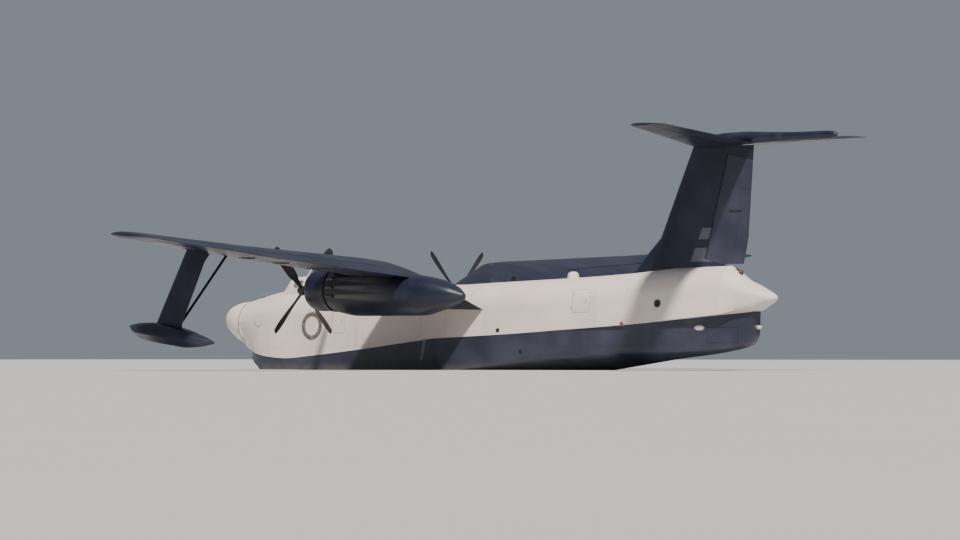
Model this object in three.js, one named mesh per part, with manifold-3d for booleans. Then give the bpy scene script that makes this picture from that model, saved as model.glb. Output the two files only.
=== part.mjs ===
// A twin-engined patrol flying boat with a gull wing, a T-tail and two wing floats, in millimetres.
// +X points to the bow, +Y to port and +Z up. The origin lies on the waterline, at the main step.
// Tables give places as "aft" (distance behind the tip of the nose) and "up" (height over the step's keel).

import * as THREE from 'three';
import { mergeVertices } from 'three/addons/utils/BufferGeometryUtils.js';
import Module from 'manifold-3d';

const wasm = await Module();
wasm.setup();

// Driving dimensions.
const stepStation = 12400; // from the tip of the nose to the main step
const draft = 1350; // from the step's keel to the waterline
const seatGap = 0.3; // between pieces that are bolted together
const wingJoint = 5350; // half-span where the gull panel meets the outer panel
const engineY = 4600; // half-span of the engine axis
const engineUp = 4440; // height of the engine axis
const propellerRadius = 2310;
const bladeCount = 4;
const cowlBack = 10150;
const cowlRadius = 810;
const cowlWall = 45;
const floatY = 14200;
const boomUp = 9990;
const boomEnd = 30660;
const hingeGap = 20; // round a control surface's nose
const endGap = 10; // at a control surface's ends
const tubeRadius = endGap - seatGap; // of the hinge tubes and end pins that close those gaps

// Paint, as it shows in the photograph.
const paint = {
  white: { color: 0xd9cfc6, roughness: 0.45, metalness: 0.05 },
  blue: { color: 0x1d2338, roughness: 0.4, metalness: 0.1 },
  glass: { color: 0x5d6a70, roughness: 0.08, metalness: 0.0 },
  metal: { color: 0x6e7072, roughness: 0.45, metalness: 0.8 },
  black: { color: 0x121316, roughness: 0.5, metalness: 0.2 },
  green: { color: 0x3d4436, roughness: 0.7, metalness: 0.1 },
  lamp: { color: 0xe9e4d2, roughness: 0.2, metalness: 0.0 },
};

// Places.
const place = (aft, y, up) => new THREE.Vector3(stepStation - aft, y, up - draft);
const lerp = THREE.MathUtils.lerp;
const radians = THREE.MathUtils.degToRad;

// Solids: a closed geometry becomes a solid that can be joined and cut.
function solid(geometry) {
  const bare = geometry.clone();
  bare.deleteAttribute('normal');
  bare.deleteAttribute('uv');
  const merged = mergeVertices(bare, 1e-3);
  return fromArrays(merged.attributes.position.array, new Uint32Array(merged.index.array));
}

function fromArrays(vertProperties, triVerts) {
  const made = new wasm.Manifold(new wasm.Mesh({ numProp: 3, vertProperties, triVerts }));
  if (made.volume() > 0) return made;
  for (let i = 0; i < triVerts.length; i += 3) {
    [triVerts[i + 1], triVerts[i + 2]] = [triVerts[i + 2], triVerts[i + 1]];
  }
  return new wasm.Manifold(new wasm.Mesh({ numProp: 3, vertProperties, triVerts }));
}

function moved(body, matrix) {
  const mesh = body.getMesh();
  const points = new Float32Array(mesh.numVert * 3);
  const point = new THREE.Vector3();
  for (let i = 0; i < mesh.numVert; i++) {
    point.fromArray(mesh.vertProperties, i * mesh.numProp).applyMatrix4(matrix).toArray(points, i * 3);
  }
  return fromArrays(points, new Uint32Array(mesh.triVerts));
}

const mirrored = (body) => moved(body, new THREE.Matrix4().makeScale(1, -1, 1));
const shifted = (body, x, y, z) => moved(body, new THREE.Matrix4().makeTranslation(x, y, z));

function join(...bodies) {
  return bodies.reduce((all, body) => all.add(body));
}

// Cuts a piece back from a neighbour that is first moved towards it, which leaves the bolted gap.
const towards = {
  up: [0, 0, seatGap],
  down: [0, 0, -seatGap],
  aft: [-seatGap, 0, 0],
  upAndOut: [0, seatGap, seatGap],
  forwardAndDown: [seatGap, 0, -seatGap],
  forwardAndUp: [seatGap, 0, seatGap],
  aftAndUp: [-seatGap, 0, seatGap],
  aftAndDown: [-seatGap, 0, -seatGap],
};
const seat = (piece, neighbour, ...directions) => directions.reduce((rest, direction) => (
  rest.subtract(shifted(neighbour, ...towards[direction]))
), piece);

// Of the bodies that a cut leaves, the largest.
function largest(body) {
  return body.decompose().reduce((best, other) => (other.volume() > best.volume() ? other : best));
}

// A closed skin over rings of equally many points, with a fan over each end.
function loft(rings) {
  const count = rings[0].length;
  const points = rings.flat();
  const faces = [];
  for (let i = 0; i + 1 < rings.length; i++) {
    for (let j = 0; j < count; j++) {
      const a = i * count + j;
      const b = i * count + ((j + 1) % count);
      faces.push(a, b, a + count, b, b + count, a + count);
    }
  }
  for (const [ring, first, turn] of [[rings[0], 0, 1], [rings.at(-1), (rings.length - 1) * count, 0]]) {
    const centre = points.length;
    points.push(ring.reduce((sum, p) => sum.add(p), new THREE.Vector3()).divideScalar(count));
    for (let j = 0; j < count; j++) {
      const a = first + j;
      const b = first + ((j + 1) % count);
      faces.push(...(turn ? [b, a, centre] : [a, b, centre]));
    }
  }
  const array = new Float32Array(points.length * 3);
  points.forEach((p, i) => p.toArray(array, i * 3));
  const geometry = new THREE.BufferGeometry().setAttribute('position', new THREE.BufferAttribute(array, 3));
  geometry.setIndex(faces);
  return solid(geometry);
}

// A box between two corners given as aft, y and up.
function block(aft, y, up) {
  const low = place(aft[1], y[0], up[0]);
  const high = place(aft[0], y[1], up[1]);
  const size = high.clone().sub(low);
  const geometry = new THREE.BoxGeometry(size.x, size.y, size.z);
  const centre = low.add(high).multiplyScalar(0.5);
  return solid(geometry.translate(centre.x, centre.y, centre.z));
}

// A body made the same on both sides of the centreline, facet for facet, after its port half.
function symmetric(body) {
  const port = body.intersect(block([-1000, 40000], [0, 20000], [-2000, 20000]));
  return port.add(mirrored(port));
}

// A round rod or cone between two points.
function rod(from, to, radiusFrom, radiusTo = radiusFrom, sides = 16) {
  const along = to.clone().sub(from);
  const geometry = new THREE.CylinderGeometry(radiusTo, radiusFrom, along.length(), sides);
  geometry.translate(0, along.length() / 2, 0);
  const turn = new THREE.Quaternion().setFromUnitVectors(new THREE.Vector3(0, 1, 0), along.normalize());
  geometry.applyQuaternion(turn);
  return solid(geometry.translate(from.x, from.y, from.z));
}

// A body turned about a line along X: rows of distance aft and radius, from axis to axis.
function turned(profile, y, up, sides = 24) {
  const points = profile.map(([aft, radius]) => new THREE.Vector2(radius, -aft));
  const geometry = new THREE.LatheGeometry(points, sides);
  geometry.rotateZ(-Math.PI / 2);
  return solid(geometry.translate(stepStation, y, up - draft));
}

// Aerofoils.
// Each station of a wing, tail or strut: leading edge, chord, nose-up pitch, thickness as a share of the chord.
const foilShares = [1, 0.86, 0.7, 0.5, 0.3, 0.15, 0.05, 0.012];
const trailingEdge = 9; // half its thickness

function halfThickness(station, share) {
  const x = Math.min(Math.max(share, 0), 1);
  const curve = 0.2969 * Math.sqrt(x) - 0.126 * x - 0.3516 * x ** 2 + 0.2843 * x ** 3 - 0.1036 * x ** 4;
  return Math.max(5 * station.thick * station.chord * curve, trailingEdge * x);
}

function foilPoint(station, share, offset, upright) {
  const camber = 4 * (station.camber ?? 0) * station.chord * share * (1 - share);
  const back = share * station.chord;
  const high = offset + camber;
  const pitch = radians(station.pitch ?? 0);
  const aft = station.aft + back * Math.cos(pitch) + high * Math.sin(pitch);
  const up = station.up - back * Math.sin(pitch) + high * Math.cos(pitch);
  return upright ? place(station.aft + back, station.y + offset, station.up) : place(aft, station.y, up);
}

function foilRing(station, upright) {
  const upper = foilShares.map((share) => foilPoint(station, share, halfThickness(station, share), upright));
  const lower = foilShares.map((share) => foilPoint(station, share, -halfThickness(station, share), upright));
  const nose = foilPoint(station, 0, 0, upright);
  return [...upper, nose, ...lower.reverse()];
}

const foilBody = (stations, upright = false) => loft(stations.map((station) => foilRing(station, upright)));

// The station that lies between the rows of a table, at a value of y or up.
function stationAt(stations, key, value) {
  const next = stations.findIndex((station, i) => i > 0 && station[key] >= value);
  const [a, b] = [stations[next - 1], stations[next]];
  const share = (value - a[key]) / (b[key] - a[key]);
  return Object.fromEntries(Object.keys(a).map((name) => [name, lerp(a[name], b[name], share)]));
}

// Control surfaces.
// A hinge line: two points on it, the nose's radius there, and the frame "along, aft, square to both".
function hingeLine(stations, key, ends, share, upright) {
  const [from, to] = ends.map((value) => stationAt(stations, key, value));
  const points = [from, to].map((station) => foilPoint(station, share, 0, upright));
  const radii = [from, to].map((station) => halfThickness(station, share) + 4);
  const along = points[1].clone().sub(points[0]);
  const length = along.length();
  along.normalize();
  const aft = new THREE.Vector3(-1, 0, 0);
  aft.addScaledVector(along, -aft.dot(along)).normalize();
  const square = along.clone().cross(aft);
  return { points, radii, along, aft, square, length };
}

const noseSides = 12;

// The space behind a hinge line: a round nose, and all that lies aft of it.
function hingeSpace(hinge, inset, grow, reach) {
  const [low, high] = [inset, hinge.length - inset];
  const at = (distance) => hinge.points[0].clone().addScaledVector(hinge.along, distance);
  const radius = (distance) => lerp(hinge.radii[0], hinge.radii[1], distance / hinge.length) + grow;
  const nose = rod(at(low), at(high), radius(low), radius(high), noseSides);
  const geometry = new THREE.BoxGeometry(high - low, reach, reach);
  geometry.translate((low + high) / 2, reach / 2, 0);
  const frame = new THREE.Matrix4().makeBasis(hinge.along, hinge.aft, hinge.square);
  geometry.applyMatrix4(frame.setPosition(hinge.points[0]));
  return nose.add(solid(geometry));
}

// Splits a surface at a hinge line into what stays and what swings, which keeps a pin at each end.
function hinged(body, hinge, reach, pinRadius = 18) {
  const fixed = body.subtract(hingeSpace(hinge, 0, hingeGap, reach));
  const swinging = largest(body.intersect(hingeSpace(hinge, endGap, 0, reach)));
  const at = (distance) => hinge.points[0].clone().addScaledVector(hinge.along, distance);
  const pins = [
    rod(at(seatGap), at(2 * endGap), pinRadius, pinRadius, 8),
    rod(at(hinge.length - 2 * endGap), at(hinge.length - seatGap), pinRadius, pinRadius, 8),
  ];
  return { fixed, swinging: join(swinging, ...pins) };
}

// Hull. The paint line parts the blue bottom from the white upper works; aft, the upper works overhang.
// Rows: aft; bottom: keel up, chine up, half-beam there; paint line up, half-beam of the bottom there,
// half-beam of the upper works there; shoulder up, half-beam there; crest up.
const bodyRows = [
  [1450, 2080, 2150, 60, 2275, 90, 520, 3230, 1000, 4130],
  [1640, 1690, 1960, 350, 2215, 400, 610, 3250, 1040, 4170],
  [1900, 1240, 1780, 620, 2130, 680, 720, 3280, 1090, 4230],
  [2400, 740, 1520, 900, 2010, 950, 960, 3320, 1170, 4345],
  [3200, 460, 1240, 1140, 1890, 1180, 1190, 3360, 1280, 4500],
  [4400, 290, 1020, 1340, 1820, 1370, 1375, 3410, 1370, 4620],
  [6000, 190, 900, 1460, 1930, 1470, 1474, 3440, 1420, 4680],
  [8400, 170, 870, 1515, 2150, 1515, 1518, 3450, 1450, 4670],
  [12380, 160, 870, 1525, 2590, 1515, 1518, 3500, 1450, 4680],
  [12410, 400, 1210, 1500, 2592, 1514, 1517, 3500, 1450, 4680],
  [14350, 570, 1450, 1430, 2670, 1485, 1489, 3570, 1425, 4745],
  [15940, 830, 1660, 1380, 2740, 1450, 1456, 3630, 1395, 4800],
  [18380, 1110, 1920, 1270, 2880, 1330, 1350, 3755, 1305, 4885],
  [21200, 1480, 1965, 1030, 3050, 1090, 1190, 3950, 1140, 5025],
  [23400, 1780, 2030, 810, 3230, 870, 1040, 4150, 990, 5200],
  [25840, 2070, 2160, 480, 3446, 540, 850, 4330, 790, 5250],
  [26650, 2270, 2310, 310, 3516, 360, 690, 4160, 650, 4690],
  [26950, 2640, 2670, 220, 3545, 270, 620, 4090, 580, 4580],
];
const crownSteps = 6; // facets over half the crown
const tailFront = 25840; // where the tail cone starts
const tailTip = [[27600, 3800, 350, 4040, 340, 4270], [27880, 3960, 90, 4030, 90, 4110]];

function bottomRing([aft, keel, chine, chineHalf, line, lineHalf]) {
  const hollow = 0.46; // the bottom is slightly hollow between keel and chine
  const port = [
    [chineHalf * 0.55, lerp(keel, chine, hollow)],
    [chineHalf, chine],
    [chineHalf + 12, chine + 30],
    [lineHalf, line - seatGap],
  ];
  const starboard = port.map(([y, up]) => [-y, up]).reverse();
  return [[0, keel], ...port, ...starboard].map(([y, up]) => place(aft, y, up));
}

function upperRing([aft, floor, floorHalf, shoulder, shoulderHalf, crest]) {
  const port = [
    [floorHalf, floor],
    [lerp(floorHalf, shoulderHalf, 0.5) + 12, lerp(floor, shoulder, 0.5)],
  ];
  for (let i = 0; i < crownSteps; i++) {
    const turn = (Math.PI / 2) * (i / crownSteps);
    port.push([shoulderHalf * Math.cos(turn), shoulder + (crest - shoulder) * Math.sin(turn)]);
  }
  const starboard = port.map(([y, up]) => [-y, up]).reverse();
  return [...port, [0, crest], ...starboard].map(([y, up]) => place(aft, y, up));
}

// Radome: rows of aft, bottom up, top up, half-width.
const radomeRows = [
  [50, 3320, 3480, 70],
  [110, 3080, 3670, 300],
  [300, 2880, 3860, 520],
  [650, 2620, 4010, 740],
  [1050, 2410, 4090, 900],
  [1449.7, 2282, 4128, 995],
];
const radomeSides = 20;

function radomeRing([aft, bottom, top, half]) {
  const ring = [];
  for (let i = 0; i < radomeSides; i++) {
    const turn = (2 * Math.PI * i) / radomeSides;
    ring.push(place(aft, half * Math.cos(turn), (bottom + top) / 2 + ((top - bottom) / 2) * Math.sin(turn)));
  }
  return ring;
}

const radome = symmetric(loft(radomeRows.map(radomeRing)));
let hullBottom = symmetric(loft(bodyRows.map(bottomRing)));
const upperRows = bodyRows.map(([aft, , , , line, , ...upper]) => [aft, line, ...upper]);
const upperWhole = symmetric(loft(upperRows.filter(([aft]) => aft <= tailFront).map(upperRing)));
const coneRows = [...upperRows.filter(([aft]) => aft >= tailFront), ...tailTip];
coneRows[0][0] += seatGap;
const tailCone = symmetric(loft(coneRows.map(upperRing)));

// Hydroflaps: a plate let into each side of the stern, hinged at its front edge.
const hydroflap = { aft: 25150, low: 2380, high: 2950, width: 1250, thick: 45 };

function hullSide(aft, up) {
  const next = bodyRows.findIndex((row, i) => i > 0 && row[0] >= aft);
  const [a, b] = [bodyRows[next - 1], bodyRows[next]];
  const share = (aft - a[0]) / (b[0] - a[0]);
  const [, , chine, chineHalf, line, lineHalf] = a.map((value, i) => lerp(value, b[i], share));
  return place(aft, lerp(chineHalf + 12, lineHalf, (up - chine - 30) / (line - chine - 30)), up);
}

const flapFoot = hullSide(hydroflap.aft, hydroflap.low);
const flapHead = hullSide(hydroflap.aft, hydroflap.high);
const flapBack = hullSide(hydroflap.aft + hydroflap.width, hydroflap.low);
const hydroUp = flapHead.clone().sub(flapFoot);
const hydroLength = hydroUp.length();
hydroUp.normalize();
const hydroAft = flapBack.clone().sub(flapFoot);
hydroAft.addScaledVector(hydroUp, -hydroAft.dot(hydroUp)).normalize();
const hydroOut = hydroAft.clone().cross(hydroUp);
if (hydroOut.y < 0) hydroOut.negate();

function hydroBox(grow, depth) {
  const size = [hydroLength + 2 * grow, hydroflap.width + 2 * grow, depth + 60];
  const geometry = new THREE.BoxGeometry(...size);
  geometry.translate(hydroLength / 2, hydroflap.width / 2, 60 - size[2] / 2);
  const frame = new THREE.Matrix4().makeBasis(hydroUp, hydroAft, hydroOut);
  return solid(geometry.applyMatrix4(frame.setPosition(flapFoot)));
}

const hydroTube = rod(
  flapFoot.clone().addScaledVector(hydroUp, endGap),
  flapHead.clone().addScaledVector(hydroUp, -endGap),
  tubeRadius,
  tubeRadius,
  12,
);
const hydroflapLeft = hullBottom.intersect(hydroBox(0, hydroflap.thick)).add(hydroTube);
const hydroRecess = hydroBox(endGap, hydroflap.thick + 12);
hullBottom = hullBottom.subtract(hydroRecess).subtract(mirrored(hydroRecess));

// Wing. The gull panel climbs steeply from the hull's shoulder to the engine; the outer panel is nearly flat.
const wingStations = [
  { y: 600, aft: 10420, up: 3980, chord: 4600, pitch: 8, thick: 0.18, camber: 0.02 },
  { y: 1200, aft: 10360, up: 4220, chord: 4550, pitch: 8, thick: 0.18, camber: 0.02 },
  { y: 3900, aft: 10050, up: 5330, chord: 4410, pitch: 7.5, thick: 0.175, camber: 0.02 },
  { y: 4600, aft: 10080, up: 5400, chord: 4350, pitch: 7.5, thick: 0.172, camber: 0.02 },
  { y: 12380, aft: 10660, up: 5880, chord: 3220, pitch: 6.2, thick: 0.145, camber: 0.02 },
  { y: 12460, aft: 10665, up: 5885, chord: 3420, pitch: 6.1, thick: 0.137, camber: 0.02 },
  { y: 17300, aft: 10990, up: 6270, chord: 2520, pitch: 5, thick: 0.12, camber: 0.015 },
  { y: 17750, aft: 11060, up: 6310, chord: 2380, pitch: 5, thick: 0.11, camber: 0.01 },
  { y: 17950, aft: 11200, up: 6320, chord: 2080, pitch: 5, thick: 0.08, camber: 0.01 },
  { y: 18010, aft: 11380, up: 6320, chord: 1700, pitch: 5, thick: 0.045, camber: 0 },
];
const flapHinge = hingeLine(wingStations, 'y', [5700, 12370], 0.74, false);
const aileronHinge = hingeLine(wingStations, 'y', [12470, 17280], 0.76, false);
const controlReach = 2400;

const wingWhole = foilBody(wingStations);
const spanSlice = (low, high) => block([8000, 18000], [low, high], [2000, 9000]);
const wingInner = seat(wingWhole.intersect(spanSlice(0, wingJoint)), upperWhole, 'upAndOut');
let wingOuter = wingWhole.intersect(spanSlice(wingJoint + seatGap, 19000));
const flapSplit = hinged(wingOuter, flapHinge, controlReach);
const aileronSplit = hinged(wingOuter, aileronHinge, controlReach);
const ribTail = block([14060, 16000], [12300, 12600], [4000, 7000]);
wingOuter = flapSplit.fixed.subtract(hingeSpace(aileronHinge, 0, hingeGap, controlReach)).subtract(ribTail);

// Nacelles: rows of aft, bottom up, widest level up, top up, half-width. The bay's stretch is straight.
const nacelleRows = [
  [cowlBack, 3630, 4440, 5250, 810],
  [10700, 3520, 4400, 5300, 870],
  [11400, 3430, 4330, 5300, 900],
  [14500, 3430, 4330, 4960, 900],
  [15300, 3590, 4250, 4830, 760],
  [16120, 3820, 4210, 4560, 480],
  [16620, 4030, 4150, 4260, 110],
];
const nacelleSides = 24;
const nacelleFullness = 2.4; // 2 is an ellipse, more is squarer
const bay = { front: 11450, back: 14450, half: 560, ceiling: 4420, doorTop: 3640, hinge: 3573 };

function nacelleRing([aft, bottom, waist, top, half]) {
  const power = 2 / (aft === cowlBack ? 2 : nacelleFullness);
  const ring = [];
  for (let i = 0; i < nacelleSides; i++) {
    const turn = (2 * Math.PI * i) / nacelleSides;
    const [c, s] = [Math.cos(turn), Math.sin(turn)];
    const y = Math.sign(c) * Math.abs(c) ** power * half;
    const up = waist + Math.abs(s) ** power * (s > 0 ? top - waist : bottom - waist);
    ring.push(place(aft, engineY + y, up));
  }
  return ring;
}

const nacelleShape = loft(nacelleRows.map(nacelleRing));
const nacelleSeats = ['forwardAndDown', 'forwardAndUp', 'aftAndUp', 'aftAndDown'];
const nacelleWhole = seat(nacelleShape, wingWhole, ...nacelleSeats);
const bayY = [engineY - bay.half, engineY + bay.half];
let nacelle = largest(nacelleWhole).subtract(block([bay.front, bay.back], bayY, [3000, bay.ceiling]));
nacelle = largest(nacelle);

function bayDoor(side) {
  const y = [engineY + side * 5, engineY + side * (bay.half - endGap)].sort((a, b) => a - b);
  const aft = [bay.front + endGap, bay.back - endGap];
  const skin = nacelleWhole.intersect(block(aft, y, [3000, bay.doorTop]));
  const hingeY = engineY + side * (bay.half - endGap);
  const tube = rod(place(aft[0], hingeY, bay.hinge), place(aft[1], hingeY, bay.hinge), tubeRadius);
  return skin.add(tube);
}

// Engines: a two-row radial in a ring cowl, with a round nose case for the propeller shaft.
const cylindersPerRow = 9;
const engineRows = [9480, 9800];
const hubBack = 8600;

function engineBody() {
  const core = turned([
    [hubBack + seatGap, 0], [hubBack + seatGap, 95], [8740, 110], [9060, 250], [9330, 330], [9380, 420],
    [10050, 420], [10050, 640], [cowlBack - seatGap, 640], [cowlBack - seatGap, 0],
  ], engineY, engineUp, 14);
  const barrels = [];
  engineRows.forEach((aft, row) => {
    for (let i = 0; i < cylindersPerRow; i++) {
      const turn = (2 * Math.PI * (i + row / 2)) / cylindersPerRow;
      const out = (radius) => place(aft, engineY + radius * Math.sin(turn), engineUp + radius * Math.cos(turn));
      barrels.push(rod(out(380), out(640), 100, 88, 6));
    }
  });
  return join(core, ...barrels);
}

const cowl = turned([
  [cowlBack - seatGap, cowlRadius - cowlWall], [9300, cowlRadius - cowlWall], [9090, 660], [9030, 610],
  [9000, 640], [9030, 700], [9150, 770], [9400, cowlRadius], [cowlBack - seatGap, cowlRadius],
  [cowlBack - seatGap, cowlRadius - cowlWall],
], engineY, engineUp);

// Propeller blades: rows of radius, chord, thickness and pitch from the plane of the disc.
const bladeRows = [
  [120, 130, 125, 45],
  [450, 180, 105, 45],
  [900, 345, 65, 36],
  [1700, 385, 34, 24],
  [2230, 280, 18, 19],
  [propellerRadius, 120, 10, 18],
];
const bladePlane = 8360;
const bladeSides = 8;

function bladeRing([radius, chord, thick, pitch]) {
  const turn = radians(pitch);
  const outline = [];
  for (let i = 0; i < bladeSides; i++) {
    const angle = (2 * Math.PI * i) / bladeSides;
    const across = (chord / 2) * Math.cos(angle);
    const deep = (thick / 2) * Math.sin(angle);
    const x = across * Math.sin(turn) + deep * Math.cos(turn);
    const y = across * Math.cos(turn) - deep * Math.sin(turn);
    outline.push(new THREE.Vector3(x, y, radius));
  }
  return outline;
}

function propellerBody() {
  const hub = turned([
    [8060, 0], [8075, 60], [8130, 110], [8230, 140], [8240, 190], [8500, 190], [8510, 150],
    [hubBack, 150], [hubBack, 0],
  ], engineY, engineUp, 14);
  const blade = loft(bladeRows.map(bladeRing));
  const blades = [];
  for (let i = 0; i < bladeCount; i++) {
    const turn = new THREE.Matrix4().makeRotationX((2 * Math.PI * (i + 0.5)) / bladeCount);
    const shift = place(bladePlane, engineY, engineUp);
    blades.push(moved(blade, turn.setPosition(shift)));
  }
  return join(hub, ...blades);
}

// Floats: rows of aft, keel up, chine up, half-beam, deck up.
const floatRows = [
  [8430, 2975, 2990, 25, 3030],
  [8850, 2600, 2800, 250, 3105],
  [9600, 2420, 2700, 430, 3135],
  [10600, 2290, 2590, 490, 3030],
  [11400, 2200, 2500, 440, 2850],
  [12200, 2240, 2420, 270, 2610],
  [12780, 2335, 2370, 30, 2410],
];

function floatRing([aft, keel, chine, half, deck]) {
  const port = [[half, chine], [half * 0.94, lerp(chine, deck, 0.45)], [half * 0.66, lerp(chine, deck, 0.84)]];
  const starboard = port.map(([y, up]) => [-y, up]).reverse();
  const ring = [[0, keel], ...port, [0, deck], ...starboard];
  return ring.map(([y, up]) => place(aft, floatY + y, up));
}

const floatBody = loft(floatRows.map(floatRing));
const pylonStations = [
  { y: 14200, aft: 9660, up: 2800, chord: 1330, thick: 0.17 },
  { y: 13800, aft: 11060, up: 5930, chord: 1130, thick: 0.17 },
];
const pylon = largest(seat(seat(foilBody(pylonStations, true), floatBody, 'up'), wingOuter, 'down'));

// Bracing of a float: rows of the strut's head under the wing and foot by the pylon (aft, y, up each),
// and the plate on the float's deck that joins the feet.
const braceRows = [
  [[10880, 12480, 5850], [9870, 13955, 3080]],
  [[11800, 12480, 5750], [10680, 13955, 3020]],
];
const braceChord = 150;
const braceThick = 0.4;
const braceFoot = [[9850, 10850], [13890, 14015], [3000, 3160]];

function braceBody() {
  const struts = braceRows.map(([head, foot]) => foilBody([foot, head].map(([aft, y, up]) => (
    { aft, y, up, chord: braceChord, thick: braceThick }
  )), true));
  const frame = join(...struts, block(...braceFoot));
  return largest(seat(seat(frame, floatBody, 'up'), wingOuter, 'down'));
}

// Tail. The fin's first rows are its dorsal fillet.
const finStations = [
  { up: 4700, aft: 20900, y: 0, chord: 5400, thick: 0.065 },
  { up: 5390, aft: 21530, y: 0, chord: 4850, thick: 0.072 },
  { up: 5820, aft: 21930, y: 0, chord: 4560, thick: 0.076 },
  { up: 6340, aft: 22480, y: 0, chord: 4110, thick: 0.082 },
  { up: 9720, aft: 24015, y: 0, chord: 2820, thick: 0.1 },
];
const rudderHinge = hingeLine(finStations, 'up', [5500, 9420], 0.64, true);
const tailplaneStations = [
  { y: 0, aft: 23980, up: 9800, chord: 2830, pitch: 0, thick: 0.115 },
  { y: 6200, aft: 25960, up: 10225, chord: 1540, pitch: 0, thick: 0.1 },
  { y: 6360, aft: 26060, up: 10236, chord: 1400, pitch: 0, thick: 0.08 },
  { y: 6410, aft: 26220, up: 10240, chord: 1100, pitch: 0, thick: 0.05 },
];
const elevatorHinge = hingeLine(tailplaneStations, 'y', [420, 6180], 0.66, false);

const boomBody = (grow) => turned([
  [24700 - grow, 0], [24760, 70 + grow], [25000, 150 + grow], [25500, 215 + grow], [26400, 235 + grow],
  [27600, 190 + grow], [28800, 150 + grow], [30100, 150 + grow], [30420, 130 + grow], [30600, 75 + grow],
  [boomEnd + grow, 0],
], 0, boomUp, 18);
const boom = boomBody(0);
const tailHalf = foilBody(tailplaneStations);
const elevatorSplit = hinged(tailHalf, elevatorHinge, controlReach);
const tailplane = join(elevatorSplit.fixed, mirrored(elevatorSplit.fixed)).subtract(boomBody(seatGap));
const finWhole = symmetric(foilBody(finStations, true));
const rudderFloor = 5310;
const aboveDeck = block([20000, 30000], [-500, 500], [rudderFloor, 12000]);
const rudderSplit = hinged(finWhole, rudderHinge, 3000);
const finOverDeck = largest(seat(seat(rudderSplit.fixed, upperWhole, 'up'), tailCone, 'up'));
const tailWhole = join(tailHalf, mirrored(tailHalf));
const fin = largest(seat(finOverDeck, tailWhole, 'down'));
const rudder = largest(rudderSplit.swinging.intersect(aboveDeck));

// Flight deck: rows of aft, roof up, half-width at the foot, half-width at the roof.
const deckRows = [
  [3720, 4600, 830, 700],
  [4160, 5050, 860, 700],
  [4880, 5110, 880, 720],
  [5140, 5430, 885, 700],
  [5320, 5490, 885, 690],
  [6080, 5470, 880, 690],
  [6700, 4700, 840, 600],
];
const deckFoot = 4050;
const deckWall = 55;
const glassWall = 14;

function deckRing([aft, roof, foot, top], inward, i, last) {
  const shift = i === 0 ? inward : i === last ? -inward : 0;
  const [f, t, r] = [foot - inward, top - inward, roof - inward];
  const corner = Math.min(180, (r - deckFoot) * 0.3);
  const port = [
    [f, deckFoot - (inward ? 200 : 0)], [lerp(f, t, 0.6), lerp(deckFoot, r, 0.6)],
    [t, r - corner], [t - 60, r - corner * 0.35], [t - 190, r],
  ];
  const starboard = port.map(([y, up]) => [-y, up]).reverse();
  return [...port, ...starboard].map(([y, up]) => place(aft + shift, y, up));
}

const deckShape = (inward) => symmetric(loft(deckRows.map((row, i, all) => (
  deckRing(row, inward, i, all.length - 1)
))));

// Windows: rows of aft from and to, up from and to, cut right across the deck; then the windscreen's panes.
const windowRows = [
  [4300, 4800, 4640, 4930],
  [5230, 5590, 4640, 5240],
  [5690, 6030, 4640, 5240],
];
const screenRows = [[-600, -230], [-170, 170], [230, 600]];
const cabin = { front: 4000, back: 6350, half: 720, floor: 3680 };
const cabinSpace = block([cabin.front, cabin.back], [-cabin.half, cabin.half], [cabin.floor, 5000]);
const fuselageUpper = upperWhole.subtract(cabinSpace);
let deckFrame = deckShape(0).subtract(deckShape(deckWall));
for (const [front, back, low, high] of windowRows) {
  deckFrame = deckFrame.subtract(block([front, back], [-1200, 1200], [low, high]));
}
for (const [right, left] of screenRows) {
  deckFrame = deckFrame.subtract(block([3500, 4150], [right, left], [4690, 4985]));
}
deckFrame = largest(seat(deckFrame, upperWhole, 'up'));
const glassOuter = deckShape(deckWall + seatGap);
const glassShell = glassOuter.subtract(deckShape(deckWall + seatGap + glassWall));
const glass = largest(seat(glassShell, upperWhole, 'up'));

// Seats and instrument panel.
const seatRows = [
  [[4990, 5470], [-230, 230], [4000, 4080]],
  [[5390, 5470], [-230, 230], [4000, 4760]],
  [[5130, 5330], [-130, 130], [cabin.floor + seatGap, 4010]],
  [[5020, 5440], [-250, -225], [4050, 4260]],
  [[5020, 5440], [225, 250], [4050, 4260]],
];

function pilotSeat(y) {
  return join(...seatRows.map(([aft, across, up]) => block(aft, across.map((value) => value + y), up)));
}

const panel = join(
  block([4230, 4300], [-600, 600], [4180, 4560]),
  block([4060, 4330], [-600, 600], [4540, 4580]),
  block([4180, 4700], [-110, 110], [cabin.floor + seatGap, 4210]),
);

// Small fittings that stand on the hull, the starboard searchlight and the lights.
const searchlight = { y: -16600, up: 5430 };
const lightPod = turned([
  [11180, 0], [11180, 330], [11230, 400], [11500, 420], [12000, 400], [12350, 290], [12480, 0],
], searchlight.y, searchlight.up, 20);
const lightSaddle = block([11350, 12150], [searchlight.y - 90, searchlight.y + 90], [5500, 6080]);
const wingOuterRight = mirrored(wingOuter);
const searchlightBody = largest(seat(join(lightPod, lightSaddle), wingOuterRight, 'down'));
const dorsalDome = seat(join(
  rod(place(18200, 0, 4800), place(18200, 0, 4980), 240, 220, 20),
  rod(place(18200, 0, 4980), place(18200, 0, 5130), 220, 90, 20),
), upperWhole, 'up');
const tailLight = seat(join(
  rod(place(26210, 0, 4750), place(26210, 0, 5010), 110, 110, 14),
  rod(place(26210, 0, 5010), place(26210, 0, 5080), 110, 50, 14),
), tailCone, 'up');
const sternLamp = turned([[26800, 0], [26800, 90], [27060, 90], [27160, 60], [27200, 0]], 0, 2950, 14);
const sternLight = seat(sternLamp, hullBottom, 'aft');

// The scene graph: each piece is a mesh of its own.
const group = new THREE.Group();

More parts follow.
